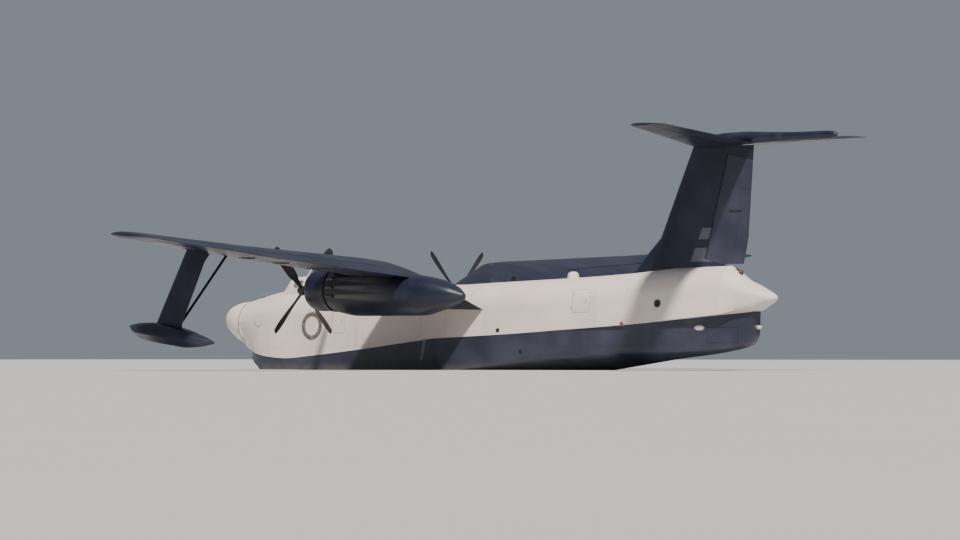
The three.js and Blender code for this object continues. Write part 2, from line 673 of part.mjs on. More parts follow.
function add(name, body, finish) {
  const mesh = body.getMesh();
  const points = new Float32Array(mesh.numVert * 3);
  for (let i = 0; i < mesh.numVert; i++) {
    points.set(mesh.vertProperties.subarray(i * mesh.numProp, i * mesh.numProp + 3), i * 3);
  }
  const geometry = new THREE.BufferGeometry().setAttribute('position', new THREE.BufferAttribute(points, 3));
  geometry.setIndex(new THREE.BufferAttribute(mesh.triVerts, 1));
  const shell = new THREE.Mesh(geometry, new THREE.MeshStandardMaterial(paint[finish]));
  shell.name = name;
  group.add(shell);
}

function addPair(name, body, finish) {
  add(`${name}_left`, body, finish);
  add(`${name}_right`, mirrored(body), finish);
}

add('nose_radome', radome, 'white');
add('hull_bottom', hullBottom, 'blue');
add('fuselage_upper', fuselageUpper, 'white');
add('tail_cone', tailCone, 'white');
add('flight_deck', deckFrame, 'white');
add('flight_deck_glass', glass, 'glass');
add('pilot_seat_left', pilotSeat(380), 'green');
add('pilot_seat_right', pilotSeat(-380), 'green');
add('instrument_panel', panel, 'black');
addPair('wing_inner', wingInner, 'blue');
addPair('wing_outer', wingOuter, 'blue');
addPair('flap', flapSplit.swinging, 'blue');
addPair('aileron', aileronSplit.swinging, 'blue');
addPair('nacelle', nacelle, 'blue');
addPair('bay_door_inner', bayDoor(-1), 'blue');
addPair('bay_door_outer', bayDoor(1), 'blue');
addPair('cowl', cowl, 'blue');
addPair('engine', engineBody(), 'metal');
addPair('propeller', propellerBody(), 'black');
addPair('wing_float', floatBody, 'blue');
addPair('float_pylon', pylon, 'blue');
addPair('float_brace', braceBody(), 'blue');
addPair('hydroflap', hydroflapLeft, 'blue');
add('fin', fin, 'blue');
add('rudder', rudder, 'blue');
add('tailplane', tailplane, 'blue');
addPair('elevator', elevatorSplit.swinging, 'blue');
add('tail_boom', boom, 'blue');
add('searchlight', searchlightBody, 'black');
add('dorsal_dome', dorsalDome, 'white');
add('tail_light', tailLight, 'black');
add('stern_light', sternLight, 'lamp');

export default group;
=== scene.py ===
import math

import bmesh
import bpy
import numpy as np
from mathutils import Matrix, Vector
from mathutils.bvhtree import BVHTree


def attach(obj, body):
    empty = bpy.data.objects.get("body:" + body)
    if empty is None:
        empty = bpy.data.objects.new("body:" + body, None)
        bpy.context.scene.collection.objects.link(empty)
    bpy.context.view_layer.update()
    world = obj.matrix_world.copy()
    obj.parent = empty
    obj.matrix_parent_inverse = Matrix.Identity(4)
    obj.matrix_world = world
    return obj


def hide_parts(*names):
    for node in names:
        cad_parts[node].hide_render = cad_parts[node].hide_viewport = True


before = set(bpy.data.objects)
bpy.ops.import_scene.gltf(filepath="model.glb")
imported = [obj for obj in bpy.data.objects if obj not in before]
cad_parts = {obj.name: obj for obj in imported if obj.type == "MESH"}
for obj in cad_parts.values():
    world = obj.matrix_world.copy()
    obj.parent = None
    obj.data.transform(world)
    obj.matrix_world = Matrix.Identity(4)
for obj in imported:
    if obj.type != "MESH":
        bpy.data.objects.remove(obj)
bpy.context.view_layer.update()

# Places are as in the part's source, but in metres: aft of the nose's tip, y to port, up over the keel
stepStation = 12.4
draft = 1.35
ahead, aftward = Vector((1, 0, 0)), Vector((-1, 0, 0))
outboard, inboard = Vector((0, 1, 0)), Vector((0, -1, 0))  # from and towards the port side's skin
upwards, downward = Vector((0, 0, 1)), Vector((0, 0, -1))


def place(aft, y, up):
    return Vector((stepStation - aft, y, up - draft))


def mix(a, b, share):
    return a + (b - a) * share


def added(name, data):
    made = bpy.data.objects.new(name, data)
    bpy.context.scene.collection.objects.link(made)
    return made


def pointed(thing, direction, axis, upAxis):
    thing.rotation_mode = "QUATERNION"
    thing.rotation_quaternion = direction.to_track_quat(axis, upAxis)


# Camera first: from behind the port wing, at floor level, through a long lens as in the photograph.
camera = {
    "azimuth": 220.4, "distance": 170.0, "height": 0.55, "aim": (-1.1, 0.0, 3.9), "widthSeen": 37.5,
    "clip": (1, 2000),
}


def makeCamera():
    turn = math.radians(camera["azimuth"])
    aim = Vector(camera["aim"])
    data = bpy.data.cameras.new("camera")
    data.lens = data.sensor_width * camera["distance"] / camera["widthSeen"]
    data.clip_start, data.clip_end = camera["clip"]
    eye = added("camera", data)
    eye.location = aim + Vector((math.sin(turn), -math.cos(turn), 0)) * camera["distance"]
    eye.location.z = camera["height"]
    pointed(eye, Vector((aim.x, aim.y, eye.location.z)) - eye.location, "-Z", "Y")
    data.shift_y = (aim.z - eye.location.z) / camera["widthSeen"]
    bpy.context.scene.camera = eye


makeCamera()
print("camera made")


# Materials
class Signal:
    # an output socket with Python's operators, so shader maths reads as an expression
    def __init__(self, graph, socket):
        self.graph, self.socket = graph, socket

    def maths(self, operation, *values):
        return self.graph.node("ShaderNodeMath", {"operation": operation}, dict(enumerate(values)))

    def size(self):
        return self.maths("ABSOLUTE", self)

    def least(self, other):
        return self.maths("MINIMUM", self, other)

    def most(self, other):
        return self.maths("MAXIMUM", self, other)

    def ramp(self, low, high, start=0.0, end=1.0):
        settings = {"interpolation_type": "SMOOTHSTEP", "clamp": True}
        inputs = {"Value": self, "From Min": low, "From Max": high, "To Min": start, "To Max": end}
        return self.graph.node("ShaderNodeMapRange", settings, inputs)

    def near(self, value, width):
        # 1 where the value is within the width, falling softly to 0
        return 1 - (self - value).size().ramp(width * 0.5, width)

    def every(self, pitch, width=0.004):
        # 1 on thin lines that repeat at the pitch
        return self.maths("PINGPONG", self, pitch / 2).ramp(0, width, 1.0, 0.0)


def operator(operation, reflected):
    return lambda self, other: self.maths(operation, *((other, self) if reflected else (self, other)))


operators = {"add": "ADD", "sub": "SUBTRACT", "mul": "MULTIPLY", "truediv": "DIVIDE", "pow": "POWER"}
for word, operation in operators.items():
    setattr(Signal, f"__{word}__", operator(operation, False))
    setattr(Signal, f"__r{word}__", operator(operation, True))


class Graph:
    # a material's nodes, made from one method
    def __init__(self, name):
        self.material = bpy.data.materials.new(name)
        self.material.use_nodes = True
        self.tree = self.material.node_tree
        self.tree.nodes.clear()
        self.spot = self.node("ShaderNodeTexCoord", output="Object")
        self.x, self.y, self.z = self.split(self.spot)

    def node(self, kind, settings=None, inputs=None, output=0):
        made = self.tree.nodes.new(kind)
        for key, value in (settings or {}).items():
            setattr(made, key, value)
        for key, value in (inputs or {}).items():
            if isinstance(value, Signal):
                self.tree.links.new(value.socket, made.inputs[key])
            else:
                made.inputs[key].default_value = value
        return Signal(self, made.outputs[output]) if len(made.outputs) else None

    def split(self, vector):
        parts = self.node("ShaderNodeSeparateXYZ", {}, {"Vector": vector})
        return [Signal(self, socket) for socket in parts.socket.node.outputs]

    def noise(self, scale, detail=4.0, stretch=(1, 1, 1), rough=0.55):
        vector = self.node("ShaderNodeVectorMath", {"operation": "MULTIPLY"}, {0: self.spot, 1: stretch})
        inputs = {"Vector": vector, "Scale": scale, "Detail": detail, "Roughness": rough}
        return self.node("ShaderNodeTexNoise", {}, inputs)

    def blend(self, share, a, b):
        settings = {"data_type": "RGBA", "blend_type": "MIX", "clamp_factor": True}
        return self.node("ShaderNodeMix", settings, {0: share, 6: a, 7: b}, 2)

    def finish(self, height=None, depth=0.0, **inputs):
        # keys are the shader's sockets with underscores for spaces; the height is a bump of that depth
        named = {key.replace("_", " "): value for key, value in inputs.items()}
        if height:
            bump = {"Height": height, "Distance": depth, "Strength": 1.0}
            named["Normal"] = self.node("ShaderNodeBump", {}, bump)
        shader = self.node("ShaderNodeBsdfPrincipled", {}, named)
        self.node("ShaderNodeOutputMaterial", {}, {"Surface": shader})
        return self.material


# Each paint: two tones, streaks and seams; noise scales, and then where and how strongly each shows. What all
# paints share comes first.
paintWork = {
    "details": (6, 5, 3), "stretches": ((1, 1, 1), (1.6, 1.6, 0.12), (1, 1, 1)), "toneStart": 0.35,
    "scumRise": (0.02, 0.34), "scumNoise": (3, 5, (1, 1, 0.5)), "scumPatches": (0.3, 0.6),
    "scumShares": (0.6, 0.2), "markPatches": 0.5, "roughStreaks": (0.5, 0.8), "grain": 0.05, "depth": 0.0015,
}
whitePaint = {
    "tones": ((0.82, 0.715, 0.65, 1), (0.72, 0.635, 0.585, 1)), "streak": (0.33, 0.30, 0.28, 1),
    "seam": (0.45, 0.40, 0.38, 1), "mark": (0.10, 0.085, 0.085, 1), "noises": (0.5, 1.0, 14), "toneEnd": 0.7,
    "streaks": (0.56, 0.8, 0.4), "seams": 0.32, "markWear": (1, 0.7, 0.35), "rough": (0.46, 0.12, 0.12),
}
bluePaint = {
    "tones": ((0.0065, 0.0085, 0.023, 1), (0.020, 0.024, 0.048, 1)), "streak": (0.10, 0.11, 0.13, 1),
    "seam": (0.003, 0.004, 0.009, 1), "mark": (0.16, 0.17, 0.21, 1), "noises": (0.45, 0.9, 18),
    "toneEnd": 0.72, "streaks": (0.58, 0.85, 0.30), "seams": 0.5, "markWear": (0.92, 0.8, 0.4),
    "rough": (0.30, 0.16, 0.18),
}
# a lit copy of the blue paint: its lighter tones are painted sunlight, for the hull's sides and the rudder;
# the scum along the waterline is real
sunlitAndScummedBlue = {
    **bluePaint, "tones": ((0.022, 0.025, 0.047, 1), (0.050, 0.054, 0.085, 1)),
    "scum": (0.085, 0.082, 0.062, 1),
}
sootyBlue = {**bluePaint, "mark": (0.15, 0.13, 0.112, 1)}


def paint(name, look, joints, marks=None):
    # joints are the pitches of the seams across and along; marks are a share of the mark's colour
    graph = Graph(name)
    cloud, streaks, grain = (
        graph.noise(scale, detail, stretch)
        for scale, detail, stretch in zip(look["noises"], paintWork["details"], paintWork["stretches"])
    )
    joints = [getattr(graph, axis).every(pitch) for axis, pitch in joints.items()]
    joints = joints[0].most(joints[1])
    colour = graph.blend(cloud.ramp(paintWork["toneStart"], look["toneEnd"]), *look["tones"])
    start, end, strength = look["streaks"]
    colour = graph.blend(streaks.ramp(start, end) * strength, colour, look["streak"])
    if "scum" in look:  # along the waterline
        patchy, even = paintWork["scumShares"]
        below = 1 - graph.z.ramp(*paintWork["scumRise"])
        scum = graph.noise(*paintWork["scumNoise"]).ramp(*paintWork["scumPatches"]) * patchy + even
        colour = graph.blend(below * scum, colour, look["scum"])
    colour = graph.blend(joints * look["seams"], colour, look["seam"])
    if marks:
        full, end, wear = look["markWear"]
        worn = grain.ramp(paintWork["markPatches"], end) * wear
        colour = graph.blend(marks(graph) * (full - worn), colour, look["mark"])
    base, cloudy, streaky = look["rough"]
    rough = base + cloud * cloudy + streaks.ramp(*paintWork["roughStreaks"]) * streaky
    height = grain * paintWork["grain"] - joints
    return graph.finish(height, paintWork["depth"], Base_Color=colour, Roughness=rough)


# Other finishes: noises and where they show; pairs of roughness are the noise's share and the base
metalWork = {"cloud": (6, 5), "grain": (60, 3), "dirt": (0.45, 0.8, 0.7), "depth": 0.0008, "uneven": 0.3}
glassWork = {"film": (3, 4, (0.4, 0.8)), "rough": (0.08, 0.03), "haze": 0.12, "coat": 0.3}
fabricWork = {"thread": (0.006, 0.003), "depth": 0.001, "wear": (9, 5, (0.4, 0.75)), "rough": (0.1, 0.8)}


def metal(name, base, rough, metallic=0.85, dirt=(0.02, 0.018, 0.016, 1)):
    graph = Graph(name)
    cloud, grain = graph.noise(*metalWork["cloud"]), graph.noise(*metalWork["grain"])
    start, end, strength = metalWork["dirt"]
    colour = graph.blend(cloud.ramp(start, end) * strength, base, dirt)
    rough = cloud * metalWork["uneven"] + rough
    return graph.finish(grain, metalWork["depth"], Base_Color=colour, Metallic=metallic, Roughness=rough)


def glass(name, tint, alpha):
    graph = Graph(name)
    scale, detail, shows = glassWork["film"]
    film = graph.noise(scale, detail).ramp(*shows)
    share, base = glassWork["rough"]
    rough, alpha = film * share + base, film * glassWork["haze"] + alpha
    return graph.finish(Base_Color=tint, Roughness=rough, Alpha=alpha, Coat_Weight=glassWork["coat"])


def fabric(name, base, dark):
    graph = Graph(name)
    weave = graph.x.every(*fabricWork["thread"]) * 0.5 + graph.z.every(*fabricWork["thread"]) * 0.5
    scale, detail, shows = fabricWork["wear"]
    wear = graph.noise(scale, detail).ramp(*shows)
    share, smoothest = fabricWork["rough"]
    colour = graph.blend(wear, base, dark)
    return graph.finish(weave, fabricWork["depth"], Base_Color=colour, Roughness=wear * share + smoothest)


# Plain marks in the paint, with their places in the scene's frame
paintMarks = {
    "ring": (6.5, 1.74, 0.47, 0.13), "ringSide": (0.7, 0.9),
    "finRows": ((4.33, 0.29), (5.12, 0.24)), "finRowEdge": (0.1, 0.2), "finPlace": (12.45, 4.6, 0.45),
    "finWidth": (0.62, 0.64), "finStrength": 0.8,
    "tipPlace": (0.35, 15.9), "tipWidth": (0.44, 0.46), "tipLength": (1.0, 1.02), "tipUnder": (-0.3, -0.2),
    "tipStrength": 0.6,
    "stainStart": 1.74, "stainRows": (3.51, 3.18, 2.84), "stainDrop": 0.03, "stainWidth": (0.06, 0.07),
    "stainEdge": (0.35, 1.0), "stainIn": (-0.04, 0.08), "stainOut": (0.4, 3.4),
    "stainNoise": (2.2, 5, (0.3, 1, 1)), "stainPatches": (0.2, 0.55),
}


def bowRing(graph):
    # a dark ring on the bow's sides
    x, z, size, line = paintMarks["ring"]
    radius = ((graph.x - x) ** 2.0 + (graph.z - z) ** 2.0) ** 0.5
    return radius.near(size, line) * graph.y.size().ramp(*paintMarks["ringSide"])


def finPanels(graph):
    # two pale panels on the fin, raked with it
    low, high = (graph.z.near(*row) for row in paintMarks["finRows"])
    aft, foot, rake = paintMarks["finPlace"]
    width = 1 - (graph.x + aft + (graph.z - foot) * rake).size().ramp(*paintMarks["finWidth"])
    return low.most(high).ramp(*paintMarks["finRowEdge"]) * width * paintMarks["finStrength"]


def tipPanel(graph):
    # one pale panel under the port wing's tip
    x, y = paintMarks["tipPlace"]
    across = 1 - (graph.x - x).size().ramp(*paintMarks["tipWidth"])
    along = 1 - (graph.y - y).size().ramp(*paintMarks["tipLength"])
    facing = graph.split(graph.node("ShaderNodeNewGeometry", output=1))[2]
    return across * along * (1 - facing.ramp(*paintMarks["tipUnder"])) * paintMarks["tipStrength"]


def exhaustStains(graph):
    # pale streaks that trail aft from the exhaust stubs
    aft = paintMarks["stainStart"] - graph.x
    growth, start = paintMarks["stainWidth"]
    width = aft.most(0.0) * growth + start
    drop = paintMarks["stainDrop"]
    first, second, third = ((graph.z - up + aft * drop).size() / width for up in paintMarks["stainRows"])
    streaks = 1 - first.least(second).least(third).ramp(*paintMarks["stainEdge"])
    trail = aft.ramp(*paintMarks["stainIn"]) * (1 - aft.ramp(*paintMarks["stainOut"]))
    return streaks * trail * graph.noise(*paintMarks["stainNoise"]).ramp(*paintMarks["stainPatches"])


whiteSeams, blueSeams = {"x": 1.24, "z": 0.92}, {"x": 1.3, "z": 0.94}
whiteHull = paint("whitePaint", whitePaint, whiteSeams, bowRing)
whitePlain = paint("whitePaintPlain", whitePaint, whiteSeams)
blueHull = paint("bluePaintHull", bluePaint, blueSeams)
# the hull's sides and the rudder get the lit copy of the blue, whose lighter tones are painted sunlight
blueSides = paint("bluePaintSides", sunlitAndScummedBlue, blueSeams)
blueWing = paint("bluePaintWing", bluePaint, {"y": 1.3, "x": 1.1}, tipPanel)
blueFin = paint("bluePaintFin", bluePaint, blueSeams, finPanels)
blueNacelle = paint("bluePaintNacelle", sootyBlue, blueSeams, exhaustStains)
bareMetal = metal("bareMetal", base=(0.36, 0.355, 0.35, 1), rough=0.30)
darkMetal = metal("darkMetal", base=(0.06, 0.058, 0.056, 1), rough=0.42)
burntMetal = metal("burntMetal", base=(0.20, 0.13, 0.09, 1), rough=0.45)
blackPaint = metal(
    "blackPaint", base=(0.012, 0.012, 0.014, 1), rough=0.36, metallic=0.1, dirt=(0.04, 0.038, 0.036, 1)
)
blackRubber = metal(
    "blackRubber", base=(0.016, 0.016, 0.017, 1), rough=0.6, metallic=0.0, dirt=(0.03, 0.028, 0.026, 1)
)
clearGlass = glass("clearGlass", tint=(0.30, 0.36, 0.38, 1), alpha=0.32)
lampGlass = glass("lampGlass", tint=(0.85, 0.82, 0.72, 1), alpha=0.6)
redGlass = glass("redGlass", tint=(0.45, 0.06, 0.03, 1), alpha=0.85)
greenGlass = glass("greenGlass", tint=(0.03, 0.30, 0.12, 1), alpha=0.85)
# near black and nearly opaque: painted shade of a dark room behind a window, which the solid hull doesn't
# have
paintedShadeGlass = glass("paintedShadeGlass", tint=(0.02, 0.025, 0.03, 1), alpha=0.88)
wornMetal = metal(
    "wornMetal", base=(0.24, 0.24, 0.27, 1), rough=0.5, metallic=0.4, dirt=(0.05, 0.055, 0.08, 1)
)
seatCloth = fabric("seatCloth", base=(0.085, 0.10, 0.06, 1), dark=(0.05, 0.058, 0.035, 1))
slots = {
    "white_paint": (whiteHull, whitePlain),
    "blue_paint": (blueHull, blueSides, blueWing, blueFin, blueNacelle),
    "engine_metal": (bareMetal, darkMetal, burntMetal, wornMetal), "black_paint": (blackPaint, blackRubber),
    "window_glass": (clearGlass, paintedShadeGlass), "lamp_lens": (lampGlass, redGlass, greenGlass),
    "seat_fabric": (seatCloth,),
}
slotOf = {material.name: slot for slot, materials in slots.items() for material in materials}
print("materials made")


# Meshes
def finished(shape):
    made = bpy.data.meshes.new("shape")
    shape.to_mesh(made)
    shape.free()
    return made


def tidied(mesh):
    # doubles merged, then faces turned outwards
    shape = bmesh.new()
    shape.from_mesh(mesh)
    bmesh.ops.remove_doubles(shape, verts=shape.verts, dist=1e-5)
    bmesh.ops.dissolve_degenerate(shape, edges=shape.edges, dist=1e-6)
    bmesh.ops.recalc_face_normals(shape, faces=shape.faces)
    return finished(shape)


def skin(rings, ends=True):
    # a closed skin over rings of equally many points
    count = len(rings[0])
    points = [p for ring in rings for p in ring]
    faces = []
    for i in range(0, len(points) - count, count):
        for j in range(count):
            a, b = i + j, i + (j + 1) % count
            faces.append((a, b, b + count, a + count))
    if ends:
        for first, ring in ((0, rings[0]), (len(points) - count, rings[-1])):
            faces += [(first + j, first + (j + 1) % count, len(points)) for j in range(count)]
            points.append(sum(ring, Vector()) / count)
    mesh = bpy.data.meshes.new("skin")
    mesh.from_pydata(points, [], faces)
    return tidied(mesh)


def reshaped(mesh, matrix):
    made = mesh.copy()
    made.transform(matrix)
    if matrix.determinant() < 0:
        made.flip_normals()
    return made


def moved(mesh, at):
    return reshaped(mesh, Matrix.Translation(at))


def mirrored(mesh):
    return reshaped(mesh, Matrix.Diagonal((1, -1, 1, 1)))


def merged(*meshes):
    shape = bmesh.new()
    for mesh in meshes:
        shape.from_mesh(mesh)
    return finished(shape)


def evaluated(thing, *spent):
    # the mesh that an object's modifiers make, after which the spent objects go
    bpy.context.view_layer.update()
    made = bpy.data.meshes.new_from_object(thing.evaluated_get(bpy.context.evaluated_depsgraph_get()))
    for gone in spent:
        bpy.data.objects.remove(gone)
    return made


def cut(mesh, tool, how="DIFFERENCE"):
    body, other = added("cutBody", mesh), added("cutTool", tool)
    change = body.modifiers.new("cut", "BOOLEAN")
    change.operation, change.solver, change.object = how, "MANIFOLD", other
    return evaluated(body, body, other)


def common(mesh, tool):
    return cut(mesh, tool, "INTERSECT")


def block(middle, size):
    shape = bmesh.new()
    bmesh.ops.create_cube(shape, size=1, matrix=Matrix.LocRotScale(middle, None, size))
    return finished(shape)


def blockOn(middle, size, origin, *axes):
    # a block on three axes of its own
    turn = Matrix(axes).transposed().to_4x4()
    turn.translation = origin
    return tidied(reshaped(block(middle, size), turn))


def box(aft, y, up):
    low, high = place(aft[1], y[0], up[0]), place(aft[0], y[1], up[1])
    return block((low + high) / 2, high - low)


def softBox(aft, y, up, radius=0.01, steps=2):
    shape = bmesh.new()
    shape.from_mesh(box(aft, y, up))
    bmesh.ops.bevel(shape, geom=shape.edges[:], offset=radius, segments=steps, affect="EDGES", profile=0.5)
    bmesh.ops.recalc_face_normals(shape, faces=shape.faces)
    return finished(shape)


def around(middle, half):
    return middle - half, middle + half


def circle(count, start=0.0):
    # the angles of one turn; start is a share of a step
    return [2 * math.pi * (k + start) / count for k in range(count)]


def radial(a):
    return Vector((0, math.sin(a), math.cos(a)))


def headings(points, closed=False):
    # a path's direction at each of its points
    made, last = [], len(points) - 1
    for i in range(last + 1):
        after = points[0 if closed and i == last else min(i + 1, last)]
        step = after - points[i - 1 if closed or i else 0]
        made.append(step.normalized() if step.length > 1e-6 else ahead)
    return made


def tube(path, radii, sides=20):
    # a round tube along points, with one radius for all or one for each
    radii = radii if isinstance(radii, (list, tuple)) else [radii] * len(path)
    rings, side = [], None
    for spot, along, radius in zip(path, headings(path), radii):
        side = (side - along * side.dot(along) if side else along.orthogonal()).normalized()
        other = along.cross(side)
        rings.append([spot + (side * math.cos(a) + other * math.sin(a)) * radius for a in circle(sides)])
    return skin(rings)


def lathe(profile, y, up, sides=64, ends=True):
    # rows of aft and radius turned about a line along X; without ends, the last row joins the first
    rings = [[place(aft, y + radius * math.cos(a), up + radius * math.sin(a)) for a in circle(sides)]
             for aft, radius in profile]
    return skin(rings if ends else [*rings, rings[0]], ends)


def standing(profile, sides=16):
    # rows of height and radius turned about Z
    return skin([[Vector((r * math.cos(a), r * math.sin(a), z)) for a in circle(sides)] for z, r in profile])


def smoothRows(rows, spacing):
    # a monotone cubic through the rows of a table, which adds no hollow or bulge of its own
    table = np.array(rows, float)
    gaps = np.diff(table[:, 0])
    rise = np.diff(table, axis=0) / gaps[:, None]
    slope = np.zeros_like(table)
    slope[0], slope[-1] = rise[0], rise[-1]
    for i in range(1, len(gaps)):
        before, after = rise[i - 1], rise[i]
        first, second = 2 * gaps[i] + gaps[i - 1], gaps[i] + 2 * gaps[i - 1]
        same = before * after > 0
        before, after = np.where(same, before, 1), np.where(same, after, 1)
        slope[i] = np.where(same, (first + second) / (first / before + second / after), 0)
    made = []
    for i, gap in enumerate(gaps):
        steps = max(2, round(gap / spacing))
        for k in range(steps + (i == len(gaps) - 1)):
            t = k / steps
            made.append(list(
                table[i] * (2 * t**3 - 3 * t**2 + 1) + slope[i] * gap * (t**3 - 2 * t**2 + t)
                + table[i + 1] * (3 * t**2 - 2 * t**3) + slope[i + 1] * gap * (t**3 - t**2)
            ))
    return made


def lofted(ringOf, rows, spacing):
    return skin([ringOf(row) for row in smoothRows(rows, spacing)])


def piece(name, mesh, material, *nodes, body="airframe", slot=None, smooth=35):
    # puts a finished mesh in the scene, on its body and with its material
    mesh.name = name
    mesh.materials.clear()
    mesh.materials.append(material)
    mesh.polygons.foreach_set("use_smooth", [True] * len(mesh.polygons))
    mesh.polygons.foreach_set("material_index", [0] * len(mesh.polygons))
    mesh.set_sharp_from_angle(angle=math.radians(smooth))
    made = added(name, mesh)
    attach(made, body)
    slot or slotOf[material.name]
    if nodes:
        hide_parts(*nodes)
    return made


def bothSides(name, mesh, material, *nodes, body="airframe", **settings):
    # names of bodies and nodes end in left and right, but for the airframe
    made = []
    for side, half in (("left", mesh.copy()), ("right", mirrored(mesh))):
        owner = body if body == "airframe" else f"{body}_{side}"
        hidden = [f"{node}_{side}" for node in nodes]
        made.append(piece(f"{name}_{side}", half, material, *hidden, body=owner, **settings))
    return made


# Hull
hull = {
    # aft, keel, chine up and half, paint line up and half under and over it, shoulder up and half, crest
    "rows": [
        [1.45, 2.08, 2.15, 0.06, 2.275, 0.09, 0.52, 3.23, 1.0, 4.13],
        [1.64, 1.69, 1.96, 0.35, 2.215, 0.4, 0.61, 3.25, 1.04, 4.17],
        [1.9, 1.24, 1.78, 0.62, 2.13, 0.68, 0.72, 3.28, 1.09, 4.23],
        [2.4, 0.74, 1.52, 0.9, 2.01, 0.95, 0.96, 3.32, 1.17, 4.345],
        [3.2, 0.46, 1.24, 1.14, 1.89, 1.18, 1.19, 3.36, 1.28, 4.5],
        [4.4, 0.29, 1.02, 1.34, 1.82, 1.37, 1.375, 3.41, 1.37, 4.62],
        [6.0, 0.19, 0.9, 1.46, 1.93, 1.47, 1.474, 3.44, 1.42, 4.68],
        [8.4, 0.17, 0.87, 1.515, 2.15, 1.515, 1.518, 3.45, 1.45, 4.67],
        [12.38, 0.16, 0.87, 1.525, 2.59, 1.515, 1.518, 3.5, 1.45, 4.68],
        [12.41, 0.4, 1.21, 1.5, 2.592, 1.514, 1.517, 3.5, 1.45, 4.68],
        [14.35, 0.57, 1.45, 1.43, 2.67, 1.485, 1.489, 3.57, 1.425, 4.745],
        [15.94, 0.83, 1.66, 1.38, 2.74, 1.45, 1.456, 3.63, 1.395, 4.8],
        [18.38, 1.11, 1.92, 1.27, 2.88, 1.33, 1.35, 3.755, 1.305, 4.885],
        [21.2, 1.48, 1.965, 1.03, 3.05, 1.09, 1.19, 3.95, 1.14, 5.025],
        [23.4, 1.78, 2.03, 0.81, 3.23, 0.87, 1.04, 4.15, 0.99, 5.2],
        [25.84, 2.07, 2.16, 0.48, 3.446, 0.54, 0.85, 4.33, 0.79, 5.25],
        [26.65, 2.27, 2.31, 0.31, 3.516, 0.36, 0.69, 4.16, 0.65, 4.69],
        [26.95, 2.64, 2.67, 0.22, 3.545, 0.27, 0.62, 4.09, 0.58, 4.58],
    ],
    "step": 9,  # the row where the hull steps up
    "tailRow": 15,  # the row where the tail cone starts
    "tailTip": [
        [27.6, 3.8, 0.35, 4.04, 0.34, 4.27], [27.8, 3.905, 0.18, 4.035, 0.175, 4.17],
        [27.87, 3.96, 0.1, 4.032, 0.1, 4.11], [27.893, 4.0, 0.05, 4.035, 0.05, 4.072],
        [27.9, 4.03, 0.006, 4.036, 0.006, 4.042],
    ],
    "coneRound": (25.84, 27.6),  # between these the tail cone's section turns from flat-bottomed to round
    "conePower": (8, 2),
    "coneBlend": 3,  # how much sooner that turn has full effect
    "spacing": 0.24, "coneSpacing": 0.06, "crown": 18, "coneFloor": 12, "hollow": 0.16, "bulge": 0.048,
    "lip": (0.012, 0.03),  # of the chine, out and up
    "cabin": ((4.0, 6.35), (-0.72, 0.72), (3.68, 5.0)),  # cut out of the top
    "radome": [
        [0.05, 3.32, 3.48, 0.07], [0.11, 3.08, 3.67, 0.3], [0.3, 2.88, 3.86, 0.52], [0.65, 2.62, 4.01, 0.74],
        [1.05, 2.41, 4.09, 0.9], [1.4497, 2.282, 4.128, 0.995],
    ],
    "radomeSpacing": 0.04, "radomeSides": 64,
}
joints = {  # gaps and radii; a hinge's round nose is proud of the surfaces
    "bolted": 0.0003, "nose": 0.02, "end": 0.01, "pin": 0.018, "tube": 0.0097, "proud": 0.004,
}


def section(aft, keel, port, crest, y=0):
    # a ring across a hull: heights on the middle line, and the port half as pairs out and up
    starboard = [(-out, up) for out, up in reversed(port)]
    ring = [*((0, up) for up in keel), *port, *((0, up) for up in crest), *starboard]
    return [place(aft, y + out, up) for out, up in ring]


def quarter(count):
    return [math.pi / 2 * k / count for k in range(count + 1)]


def planing(keel, chine, half, hollow, steps):
    # from keel to chine, slightly hollow
    shares = [k / steps for k in range(1, steps + 1)]
    return [(half * t, mix(keel, chine, t * (1 - hollow * (1 - t)))) for t in shares]


def bottomRing(row):
    aft, keel, chine, chineHalf, line, lineHalf = row[:6]
    out, rise = hull["lip"]
    port = planing(keel, chine, chineHalf, hull["hollow"], steps=6)
    for t in (0, 0.25, 0.5, 0.75, 1):
        port.append((mix(chineHalf + out, lineHalf, t), mix(chine + rise, line - joints["bolted"], t)))
    return section(aft, [keel], port, [])


def upperRing(row):
    aft, floor, floorHalf, shoulder, shoulderHalf, crest = row
    port = []
    for t in (0, 0.25, 0.5, 0.75):
        port.append((mix(floorHalf, shoulderHalf, t) + hull["bulge"] * t * (1 - t), mix(floor, shoulder, t)))
    for a in quarter(hull["crown"])[:-1]:
        port.append((shoulderHalf * math.cos(a), shoulder + (crest - shoulder) * math.sin(a)))
    return section(aft, [], port, [crest])


def coneRing(row):
    # below its shoulders the section is an oval of ever lower power, so it ends round
    aft, floor, floorHalf, shoulder, shoulderHalf = row[:5]
    start, end = hull["coneRound"]
    reach = min(max((aft - start) / (end - start), 0), 1)
    power = mix(*hull["conePower"], reach**2 * (3 - 2 * reach))
    centre, count = place(aft, 0, shoulder), hull["coneFloor"]
    under = [place(aft, floorHalf * (2 * k / count - 1), floor) for k in range(1, count)]
    ring = []
    for point in upperRing(row) + under:
        ray = (point - centre).normalized()
        if ray.z < -1e-6:
            size = abs(ray.y / shoulderHalf) ** power + abs(ray.z / (shoulder - floor)) ** power
            point = point.lerp(centre + ray * size ** (-1 / power), min(1, hull["coneBlend"] * reach))
        ring.append(point)
    return ring


def radomeRing(row):
    aft, low, high, half = row
    middle, rise = (low + high) / 2, (high - low) / 2
    return [place(aft, half * math.cos(a), middle + rise * math.sin(a)) for a in circle(hull["radomeSides"])]


